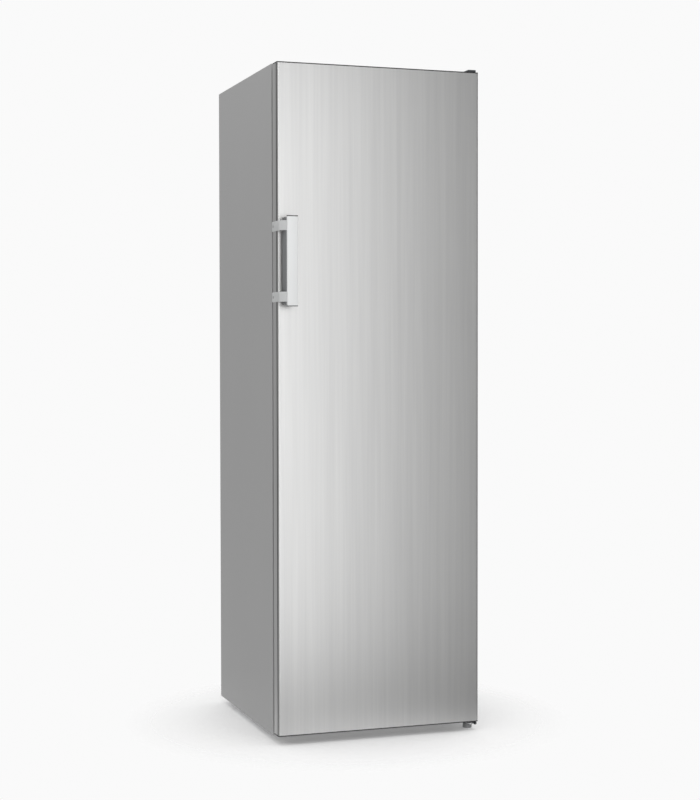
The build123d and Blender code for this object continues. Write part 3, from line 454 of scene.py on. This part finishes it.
def done(piece, finish, body, *stands, smooth=32):
    pick(piece, "FACE", isAny)
    bpy.ops.mesh.remove_doubles(threshold=weld["own"])
    bpy.ops.mesh.normals_make_consistent(inside=False)
    take(piece)
    bpy.ops.object.shade_smooth_by_angle(angle=math.radians(smooth))
    dress(piece, finish)
    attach(piece, body)
    if stands:
        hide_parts(*stands)
    return piece


# a merged copy of a CAD node with its sharp edges eased
def easedCopy(node, name, width, segments=2, sharp=40):
    letGo()
    piece = twin(nodes[node], name)
    piece.parent = None
    for key in list(piece.keys()):
        if key.startswith("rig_"):
            del piece[key]
    take(piece)
    bpy.ops.mesh.customdata_custom_splitnormals_clear()
    pick(piece, "FACE", isAny)
    bpy.ops.mesh.remove_doubles(threshold=weld["copy"])
    bpy.ops.mesh.dissolve_limited(angle_limit=math.radians(weld["flatDegrees"]))
    letGo()
    ease = piece.modifiers.new("ease", "BEVEL")
    ease.width, ease.segments = width, segments
    ease.limit_method, ease.angle_limit = "ANGLE", math.radians(sharp)
    take(piece)
    bpy.ops.object.modifier_apply(modifier="ease")
    return piece


# handle: bar, inner profile, bent strips and screw heads
handle = {"edge": 0.0007, "coreEdge": 0.0003, "stripEdge": 0.0005, "wallStart": 0.0078, "wallIn": 0.0036,
          "screwRadius": 0.0036, "screwTall": 0.0012, "screwOut": 0.0004, "slotShare": 0.45,
          "slotDeep": 0.0009, "screwEdge": 0.0003}


def makeHandle():
    bar = easedCopy("handle_bar", "handleBar", handle["edge"], 3)
    done(bar, "bar", "door", "handle_bar")
    core = easedCopy("handle_core", "handleInner", handle["coreEdge"], 2)
    low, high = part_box("handle_core")
    start = low.y + handle["wallStart"]
    for spot in core.data.vertices:  # the slanted wall stands a little more upright than in the solid
        deep = (spot.co.y - start) / (high.y - start)
        if deep > 0:
            spot.co.x += handle["wallIn"] * deep
    done(core, "handleDark", "door", "handle_core")
    strips = easedCopy("handle_brackets", "handleStrips", handle["stripEdge"], 2)
    done(strips, "bracketGrey", "door", "handle_brackets")
    low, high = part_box("handle_screws")
    radius = handle["screwRadius"]
    heads = []
    for z in (low.z + radius, high.z - radius):
        spot = (low.x + handle["screwOut"], (low.y + high.y) / 2, z)
        head = drum("screwHead", spot, radius, handle["screwTall"], "X", 32)
        faces(head, (-1, 0, 0))
        bpy.ops.mesh.inset(thickness=radius * handle["slotShare"])
        push((handle["slotDeep"], 0, 0))
        roundEdges(head, handle["screwEdge"], 2, sharp=60)
        heads.append(head)
    done(join(*heads), "screwDark", "door")
    print("handle made")


makeHandle()

# hinge cover
hingeCover = {"edge": 0.0016, "steps": 4}


def makeHingeCover():
    cover = easedCopy("hinge_cover", "hingeCap", hingeCover["edge"], hingeCover["steps"])
    done(cover, "coverDark", "cabinet", "hinge_cover")
    print("hinge cover made")


makeHingeCover()

# door seal: one profile drawn along the sides and spun round the corners
# the profile is in millimetres: out from its middle, and deep from the door's front
doorSeal = {"cornerSteps": 6, "cornerRadius": 0.005, "half": 0.007, "lipDeep": 0.0403, "profile": [
    (-1.0, 45.9), (-1.0, 44.6), (-2.2, 42.4), (-1.4, 40.7), (1.4, 40.7), (2.2, 42.4), (1.0, 44.6),
    (1.0, 45.9), (6.4, 46.0), (6.9, 46.4), (6.8, 47.1), (3.0, 47.4), (2.6, 47.8), (5.0, 48.9), (5.0, 49.3),
    (2.8, 50.4), (6.4, 50.6), (7.0, 51.2), (7.0, 53.0), (6.4, 53.6), (-6.4, 53.6), (-7.0, 53.0),
    (-7.0, 51.2), (-6.4, 50.6), (-2.8, 50.4), (-5.0, 49.3), (-5.0, 48.9), (-2.6, 47.8), (-3.0, 47.4),
    (-6.8, 47.1), (-6.9, 46.4), (-6.4, 46.0)]}


def makeSeal():
    low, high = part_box("door_seal")
    front = low.y - doorSeal["lipDeep"]
    outline = doorSeal["profile"]
    half, bend = doorSeal["half"], doorSeal["cornerRadius"]
    letGo()
    bpy.ops.mesh.primitive_circle_add(vertices=len(outline), radius=half, fill_type="NGON")
    seal = bpy.context.object
    seal.name = "doorGasket"
    for spot, (out, deep) in zip(seal.data.vertices, outline):
        spot.co = (0, front + deep / 1000, low.z + half - out / 1000)
    right, left = high.x - half - bend, low.x + half + bend
    top, bottom = high.z - half - bend, low.z + half + bend
    across, up = right - left, top - bottom
    pick(seal, "FACE", isAny)
    runs = [((across / 2, 0, 0), (right, bottom)), ((0, 0, up), (right, top)),
            ((-across, 0, 0), (left, top)), ((0, 0, -up), (left, bottom)), ((across / 2, 0, 0), None)]
    for run, corner in runs:
        push(run)
        if corner:
            bpy.ops.mesh.spin(steps=doorSeal["cornerSteps"], angle=math.pi / 2,
                              center=(corner[0], front, corner[1]), axis=(0, -1, 0))
    pick(seal, "FACE", lambda f: len(f.verts) > 4)
    bpy.ops.mesh.delete(type="FACE")
    done(seal, "seal", "door", "door_seal", smooth=40)
    print("seal made")


makeSeal()

# compressor: a shell with a weld flange, its foot plate and four bolts
compressor = {"halfX": 0.086, "halfY": 0.064, "plate": 0.0025, "plateTop": 0.0028, "plateEdge": 0.0006,
              "plan": 0.060, "planSteps": 10, "dome": 0.036, "domeSteps": 7, "sole": 0.012, "soleSteps": 4,
              "seamUp": 0.0726, "seamTall": 0.005, "seamOut": 0.0042, "seamEdge": 0.0012}
pumpBolts = {"x": 0.084, "y": 0.056, "up": 0.008, "radius": 0.0035, "tall": 0.012, "headShare": 1.8,
             "under": 0.002, "head": 0.003, "edge": 0.0004}


def makeCompressor():
    low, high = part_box("compressor")
    middle = (low + high) / 2
    near = 0.001  # an edge this close to a level lies on it
    sole, crown = low.z + compressor["plate"], high.z
    halfX, halfY = compressor["halfX"], compressor["halfY"]
    shell = block("pumpShell", (middle.x - halfX, middle.y - halfY, sole),
                  (middle.x + halfX, middle.y + halfY, crown))
    roundEdges(shell, compressor["plan"], compressor["planSteps"], runsAlong(2))
    roundEdges(shell, compressor["dome"], compressor["domeSteps"],
               lambda spot, way: spot.z > crown - near, sharp=60)
    roundEdges(shell, compressor["sole"], compressor["soleSteps"],
               lambda spot, way: spot.z < sole + near, sharp=60)
    # the weld flange: a thin band cut round the shell and drawn out
    seam = low.z + compressor["seamUp"]
    seamTop = seam + compressor["seamTall"]
    for z in (seam, seamTop):
        pick(shell, "FACE", isAny)
        bpy.ops.mesh.bisect(plane_co=(0, 0, z), plane_no=(0, 0, 1))
    pick(shell, "FACE", lambda f: abs(f.normal.z) < 0.1 and seam < f.calc_center_median().z < seamTop)
    bpy.ops.mesh.extrude_region_shrink_fatten(TRANSFORM_OT_shrink_fatten={"value": compressor["seamOut"]})
    roundEdges(shell, compressor["seamEdge"], 3,
               lambda spot, way: seam - near < spot.z < seamTop + near and abs(way.z) < near / 2, sharp=70)
    plate = easedCopy("compressor", "pumpFeet", compressor["plateEdge"], 2)
    pick(plate, "FACE", lambda f: f.calc_center_median().z > low.z + compressor["plateTop"])
    bpy.ops.mesh.delete(type="FACE")
    for side in (-1, 1):
        for along in (-1, 1):
            spot = (middle.x + side * pumpBolts["x"], middle.y + along * pumpBolts["y"],
                    low.z + pumpBolts["up"])
            bolt = drum("pumpBolt", spot, pumpBolts["radius"], pumpBolts["tall"], "Z", 24)
            faces(bolt, (0, 0, 1))
            push((0, 0, pumpBolts["under"]))
            bpy.ops.transform.resize(value=(pumpBolts["headShare"], pumpBolts["headShare"], 1))
            push((0, 0, pumpBolts["head"]))
            roundEdges(bolt, pumpBolts["edge"], 2, sharp=60)
            done(bolt, "zinc", "cabinet")
            bolt.name = f"pumpBolt{side + 2}{along + 2}"
    done(join(shell, plate), "shellBlack", "cabinet", "compressor")
    print("compressor made")


makeCompressor()

# cooling pipes with round bends, and the drier
pipes = {"radius": 0.0032, "bend": 0.018, "steps": 8, "sides": 16, "wall": 0.012, "outOfWall": 0.004,
         "suction": {"in": 0.0074, "aside": 0.060, "up": 0.050},
         "discharge": {"in": 0.0154, "aside": 0.120, "up": 0.030}}
drier = {"radius": 0.0088, "tall": 0.080, "up": 0.106, "neck": 0.42, "taper": 0.006, "edge": 0.0015}


def bentPipe(name, points):
    letGo()
    first, second = Vector(points[0]), Vector(points[1])
    turn = (second - first).to_track_quat("Z", "Y").to_euler()
    bpy.ops.mesh.primitive_circle_add(vertices=pipes["sides"], radius=pipes["radius"], fill_type="NGON",
                                      location=first, rotation=turn)
    pipe = bpy.context.object
    pipe.name = name
    bpy.ops.object.transform_apply(location=True, rotation=True, scale=True)
    pick(pipe, "FACE", isAny)
    here = first
    bend = pipes["bend"]
    for spot, after in zip(points[1:-1], points[2:]):
        spot, after = Vector(spot), Vector(after)
        come, leave = (spot - here).normalized(), (after - spot).normalized()
        angle = come.angle(leave)
        short = bend * math.tan(angle / 2)
        push(spot - come * short - here)
        axis = come.cross(leave).normalized()
        centre = spot - come * short + axis.cross(come) * bend
        bpy.ops.mesh.spin(steps=pipes["steps"], angle=-angle, center=centre, axis=axis)
        here = spot + leave * short
    push(Vector(points[-1]) - here)
    letGo()
    return pipe


def makePipes():
    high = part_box("pipework")[1]
    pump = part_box("compressor")[0]
    wall = pump.x + pipes["wall"]
    made = []
    for name in ("suction", "discharge"):
        run = pipes[name]
        x, y, z = wall - run["aside"], high.y - run["in"], pump.z + run["up"]
        made.append(bentPipe(name + "Pipe", [(wall + pipes["outOfWall"], y, z), (x, y, z), (x, y, high.z)]))
    # the drier sits on the upright run of the discharge pipe
    body = drum("filterDrier", (x, y, pump.z + drier["up"]), drier["radius"], drier["tall"], "Z", 32)
    for way in (1, -1):
        faces(body, (0, 0, way))
        push((0, 0, way * drier["taper"]))
        bpy.ops.transform.resize(value=(drier["neck"], drier["neck"], 1))
        push((0, 0, way * drier["taper"]))
    roundEdges(body, drier["edge"], 3, sharp=20)
    done(join(body, *made), "copper", "cabinet", "pipework")
    print("pipes made")


makePipes()

# rubber mounts under the compressor
mounts = {"inset": 0.012, "flange": 0.0117, "flangeTall": 0.003, "neck": 0.0069, "edge": 0.0006,
          "stemEdge": 0.0012, "steps": [(0.002, 0.74), (0.003, 1), (0.002, 1.35), (0.002, 1)]}


def makeMounts():
    low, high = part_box("grommets")
    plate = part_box("compressor")[0].z
    inset, flangeTall = mounts["inset"], mounts["flangeTall"]
    made = []
    for x in (low.x + inset, high.x - inset):
        for y in (low.y + inset, high.y - inset):
            spool = drum("mount", (x, y, plate - flangeTall / 2), mounts["flange"], flangeTall, "Z", 40)
            faces(spool, (0, 0, -1))
            for down, share in mounts["steps"]:
                push((0, 0, -down))
                bpy.ops.transform.resize(value=(share, share, 1))
            roundEdges(spool, mounts["edge"], 2, sharp=25)
            made.append(spool)
            stem = drum("stem", (x, y, (low.z + high.z) / 2), mounts["neck"], high.z - low.z, "Z", 32)
            roundEdges(stem, mounts["stemEdge"], 3, sharp=60)
            made.append(stem)
    done(join(*made), "rubber", "cabinet", "grommets")
    print("mounts made")


makeMounts()

# eased copies of moulded and pressed pieces: node, name, width, steps, finish and body
eased = [
    ("relay_cover", "terminalCover", 0.0015, 3, "black", "cabinet"),
    ("evaporation_tray", "meltTray", 0.0007, 2, "black", "cabinet"),
    ("cord_gland", "strainRelief", 0.0008, 3, "black", "cabinet"),
    ("control_panel", "controlFace", 0.0007, 2, "panelWhite", "cabinet"),
    ("hinge_clip", "hingeGuard", 0.0006, 2, "coverDark", "cabinet"),
    ("door_cap_top", "doorTopTrim", 0.0005, 2, "trim", "door"),
    ("door_cap_bottom", "doorBottomTrim", 0.0005, 2, "trim", "door"),
    ("hinge_bracket_top", "hingePlateTop", 0.0005, 2, "zinc", "cabinet"),
    ("hinge_bracket_bottom", "hingePlateBottom", 0.0005, 2, "zinc", "cabinet"),
    ("hinge_screws", "hingeScrewHeads", 0.0009, 3, "screwDark", "cabinet"),
    ("side_panel_left", "sideSheetLeft", 0.0003, 2, "sidePaint", "cabinet"),
    ("side_panel_right", "sideSheetRight", 0.0003, 2, "sidePaint", "cabinet"),
    ("top_panel", "topSheet", 0.0003, 2, "sidePaint", "cabinet"),
    ("front_rail_top", "railTop", 0.0003, 2, "sidePaint", "cabinet"),
    ("front_rail_bottom", "railBottom", 0.0003, 2, "sidePaint", "cabinet"),
    ("base_plate", "machineTray", 0.0003, 2, "zinc", "cabinet"),
    ("door_liner", "doorLining", 0.0012, 3, "liner", "door"),
    ("inner_liner", "cabinetLining", 0.0012, 3, "liner", "cabinet"),
    ("air_cover", "airDuct", 0.0006, 2, "liner", "cabinet"),
    ("lamp_lens", "lampGlass", 0.0008, 3, "lens", "cabinet"),
    ("roller_axles", "axlePins", 0.0005, 2, "zinc", "cabinet"),
]
for node, name, width, segments, finish, body in eased:
    done(easedCopy(node, name, width, segments), finish, body, node)
print("eased copies made")

# levelling feet: a ribbed grip ring and a threaded stud
feet = {"ribs": 24, "ribDeep": 0.0007, "ribInset": 0.0003, "leastRib": 0.000008, "edge": 0.0006,
        "gripTall": 0.013, "studRadius": 0.0046, "studBase": 0.001, "studShort": 0.003, "pitch": 0.0018,
        "crest": 1.09}


def makeFoot(side):
    low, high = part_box("foot_" + side)
    x, y = (low.x + high.x) / 2, (low.y + high.y) / 2
    tall = feet["gripTall"]
    grip = drum("footGrip" + side.title(), (x, y, low.z + tall / 2), (high.x - low.x) / 2, tall, "Z",
                feet["ribs"] * 2)
    roundEdges(grip, feet["edge"], 2, sharp=60)
    step = math.pi / feet["ribs"]

    def valley(face):
        spot = face.calc_center_median()
        turn = math.atan2(spot.y - y, spot.x - x) / step
        upright = abs(face.normal.z) < 0.1
        return upright and face.calc_area() > feet["leastRib"] and math.floor(turn) % 2 == 0
    pick(grip, "FACE", valley)
    bpy.ops.mesh.inset(thickness=feet["ribInset"], use_individual=True)
    bpy.ops.mesh.extrude_faces_move(TRANSFORM_OT_shrink_fatten={"value": -feet["ribDeep"]})
    base = feet["studBase"]
    stud = drum("stud", (x, y, low.z + tall + base / 2), feet["studRadius"], base, "Z", 24)
    faces(stud, (0, 0, 1))
    for k in range(int((high.z - low.z - tall - feet["studShort"]) / feet["pitch"])):
        for share in (feet["crest"], 1 / feet["crest"]):
            push((0, 0, feet["pitch"] / 2))
            bpy.ops.transform.resize(value=(share, share, 1))
    done(stud, "zinc", "foot_" + side, smooth=20)
    stud.name = "footStud" + side.title()
    done(grip, "footDark", "foot_" + side, "foot_" + side)


for side in ("left", "right"):
    makeFoot(side)
print("feet made")

# rollers under the back: two grooves round each tread
rollers = {"edge": 0.0006, "groove": 0.0011, "grooveAt": 0.0032, "grooveDeep": 0.0008, "treadFrom": 0.003}


def makeRoller(side):
    node = "roller_" + side
    wheel = easedCopy(node, "wheel" + side.title(), rollers["edge"], 2)
    low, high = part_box(node)
    middle = (low + high) / 2
    tread = (high.z - low.z) / 2 - rollers["treadFrom"]
    for sign in (-1, 1):
        near = middle.x + sign * rollers["grooveAt"]
        for x in (near - rollers["groove"], near + rollers["groove"]):
            pick(wheel, "FACE", isAny)
            bpy.ops.mesh.bisect(plane_co=(x, 0, 0), plane_no=(1, 0, 0))

        def inGroove(face):
            spot = face.calc_center_median()
            out = math.hypot(spot.y - middle.y, spot.z - middle.z)
            return abs(face.normal.x) < 0.2 and out > tread and abs(spot.x - near) < rollers["groove"]
        pick(wheel, "FACE", inGroove)
        inward = {"value": -rollers["grooveDeep"]}
        bpy.ops.mesh.extrude_region_shrink_fatten(TRANSFORM_OT_shrink_fatten=inward)
    done(wheel, "roller", node, node)


for side in ("left", "right"):
    makeRoller(side)
print("rollers made")

# drawers: eased tubs whose fronts have a sunk panel inside a plain frame
drawers = {"edge": 0.0007, "frame": 0.013, "slope": 0.0014, "sunk": -0.0009, "leastFace": 0.008,
           "frontFrom": 0.01, "frontTo": 0.02}


def makeDrawer(node):
    tub = easedCopy(node, node.replace("drawer_", "freezerDrawer"), drawers["edge"], 2)
    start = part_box(node)[0].y

    def isFront(face):
        deep = face.calc_center_median().y - start
        inPlace = drawers["frontFrom"] < deep < drawers["frontTo"]
        return inPlace and face.normal.y < -0.99 and face.calc_area() > drawers["leastFace"]
    pick(tub, "FACE", isFront)
    bpy.ops.mesh.inset(thickness=drawers["frame"])
    bpy.ops.mesh.inset(thickness=drawers["slope"], depth=drawers["sunk"])
    done(tub, "drawer", node, node)


for node in nodes:
    if node.startswith("drawer_"):
        makeDrawer(node)
print("drawers made")

# screws round the back panel
backScrews = {"radius": 0.0042, "tall": 0.0016, "edge": 0.0007, "inset": 0.009, "rows": 6, "across": 3,
              "slotShare": 0.3, "slotWall": 0.0002, "slotDeep": 0.0007}


def makeBackScrews():
    low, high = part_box("back_panel")
    first = drum("backScrews", (0, 0, 0), backScrews["radius"], backScrews["tall"], "Y", 24)
    roundEdges(first, backScrews["edge"], 3, sharp=60)
    faces(first, (0, 1, 0))
    bpy.ops.mesh.inset(thickness=backScrews["radius"] * backScrews["slotShare"])
    bpy.ops.mesh.inset(thickness=backScrews["slotWall"], depth=-backScrews["slotDeep"])
    letGo()
    left, right = low.x + backScrews["inset"], high.x - backScrews["inset"]
    bottom, top = low.z + backScrews["inset"], high.z - backScrews["inset"]
    spots = [(x, bottom + (top - bottom) * k / (backScrews["rows"] - 1)) for x in (left, right)
             for k in range(backScrews["rows"])]
    for k in range(1, backScrews["across"] + 1):
        x = left + (right - left) * k / (backScrews["across"] + 1)
        spots += [(x, bottom), (x, top)]
    heads = [twin(first, "head", (x, high.y, z)) for x, z in spots]
    bpy.data.objects.remove(first)
    done(join(*heads), "screwDark", "cabinet").name = "backScrews"
    print("back screws made")


makeBackScrews()

# buttons, their pilot lamps and the display
controls = {"radius": 0.007, "tall": 0.009, "rim": 0.0014, "dishIn": 0.0012, "dish": 0.0004,
            "collar": 0.0086, "collarTall": 0.0015, "edge": 0.0004}
pilots = {"radius": 0.0012, "tall": 0.0008, "edge": 0.0003, "up": 0.0105}
display = {"aside": 0.090, "wide": 0.069, "tall": 0.0134, "front": 0.0004, "back": 0.0009, "corner": 0.0037}


def makeControls():
    low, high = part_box("control_panel")
    middle, front = (low.x + high.x) / 2, low.y
    for node, name in (("button_power", "powerKey"), ("button_boost", "boostKey")):
        low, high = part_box(node)
        x, z = (low.x + high.x) / 2, (low.z + high.z) / 2
        key = drum(name, (x, low.y + controls["tall"] / 2, z), controls["radius"], controls["tall"], "Y", 48)
        faces(key, (0, -1, 0))
        bpy.ops.mesh.inset(thickness=controls["rim"])
        bpy.ops.mesh.inset(thickness=controls["dishIn"])
        push((0, controls["dish"], 0))
        faces(key, (0, 1, 0))
        share = controls["collar"] / controls["radius"]
        bpy.ops.transform.resize(value=(share, 1, share))
        push((0, controls["collarTall"], 0))
        roundEdges(key, controls["edge"], 2, sharp=40)
        done(key, "buttonGrey", node, node)
        spot = (x, front, z + pilots["up"])
        pilot = drum(name + "Light", spot, pilots["radius"], pilots["tall"], "Y", 24)
        roundEdges(pilot, pilots["edge"], 2, sharp=60)
        done(pilot, "pilot", "cabinet")
    # the display is level with the two keys
    x, halfX, halfZ = middle + display["aside"], display["wide"] / 2, display["tall"] / 2
    glass = block("displayGlass", (x - halfX, front + display["front"], z - halfZ),
                  (x + halfX, front + display["back"], z + halfZ))
    roundEdges(glass, display["corner"], 6, runsAlong(1))
    done(glass, "displayDark", "cabinet")
    print("controls made")


makeControls()

# floor, light and camera
stage = {"floorSize": 4.0, "fadeFrom": 0.36, "fadeTo": 0.66, "floorTone": 0.84, "floorRough": 0.9,
         "glow": 0.16, "seen": 0.955, "bright": 0.95,
         "dims": [{"to": (0.45, -0.89, -0.1), "level": 0.195, "power": 2.0},
                  {"to": (-0.35, 0.94, 0.0), "level": 0.34, "power": 10.0},
                  {"to": (-0.96, -0.28, 0.0), "level": 0.05, "power": 5.0},
                  {"to": (0.97, -0.25, 0.0), "level": 0.30, "power": 8.0}]}


def makeFloor():
    letGo()
    bpy.ops.mesh.primitive_plane_add(size=stage["floorSize"], location=(0, 0, 0))
    floor = bpy.context.object
    floor.name = "floor"
    paint = Finish("paleFloor", Roughness=stage["floorRough"])
    x, y = paint.across(0), paint.across(1)
    reach = (x * x + y * y) ** 0.5
    paint.set(Base_Color=grey(stage["floorTone"]), Emission_Color=grey(1), Emission_Strength=stage["glow"])
    paint.set(Alpha=paint.spread(reach, 1, 0, stage["fadeFrom"], stage["fadeTo"]))
    floor.data.materials.append(paint.material)


# the room is pale where it is seen, and as light it is dimmer from the four directions in stage["dims"]
def makeRoom():
    world = bpy.data.worlds.new("studio")
    world.use_nodes = True
    room = Finish.__new__(Finish)
    room.tree = world.node_tree
    way = room.add("ShaderNodeTexCoord", out="Generated")
    light = room.number(stage["bright"])
    for dim in stage["dims"]:
        aim = Vector(dim["to"]).normalized()
        share = room.add("ShaderNodeVectorMath", {"operation": "DOT_PRODUCT"}, {0: way, 1: aim}, "Value")
        share = share.maths("MAXIMUM", 0.0) ** dim["power"]
        light = light + share * (dim["level"] - stage["bright"])
    seen = room.add("ShaderNodeLightPath", out="Is Camera Ray")
    back = world.node_tree.nodes["Background"]
    room.tree.links.new((light + seen * (stage["seen"] - light)).socket, back.inputs["Strength"])
    back.inputs["Color"].default_value = grey(1)
    bpy.context.scene.world = world


lamps = {
    "nearBox": {"at": (-0.42, -1.85, 1.22), "to": (-0.42, 0, 1.22), "size": (0.75, 2.9), "power": 3.6,
                "spread": 100},
    "wideBox": {"at": (0.22, -2.10, 1.10), "to": (0.22, 0, 1.10), "size": (0.80, 2.6), "power": 3.3,
                "spread": 100},
    "topBox": {"at": (0.0, -0.6, 4.2), "to": (0, 0, 0.9), "size": (3.0, 3.0), "power": 25, "spread": 180},
}


def makeLamp(name, lamp):
    bpy.ops.object.light_add(type="AREA", location=lamp["at"])
    light = bpy.context.object
    light.name = name
    light.data.shape = "RECTANGLE"
    light.data.size, light.data.size_y = lamp["size"]
    light.data.energy = lamp["power"]
    light.data.spread = math.radians(lamp["spread"])
    aim = Vector(lamp["to"]) - Vector(lamp["at"])
    light.rotation_euler = aim.to_track_quat("-Z", "Y").to_euler()
    light.visible_camera = False


shot = {"at": (-1.5859, -4.6673, 1.0778), "yaw": 18.907, "pitch": 1.588, "roll": -0.095, "lens": 75.076,
        "sensor": 36}


def makeCamera():
    bpy.ops.object.camera_add(location=shot["at"])
    camera = bpy.context.object
    aim = Euler((math.radians(90 - shot["pitch"]), 0, math.radians(-shot["yaw"]))).to_matrix()
    camera.rotation_euler = (aim @ Matrix.Rotation(math.radians(shot["roll"]), 3, "Z")).to_euler()
    camera.data.lens = shot["lens"]
    camera.data.sensor_width = shot["sensor"]
    bpy.context.scene.camera = camera


makeFloor()
makeRoom()
for name, lamp in lamps.items():
    makeLamp(name, lamp)
makeCamera()
bpy.context.scene.view_settings.view_transform = "Standard"
print("stage set")
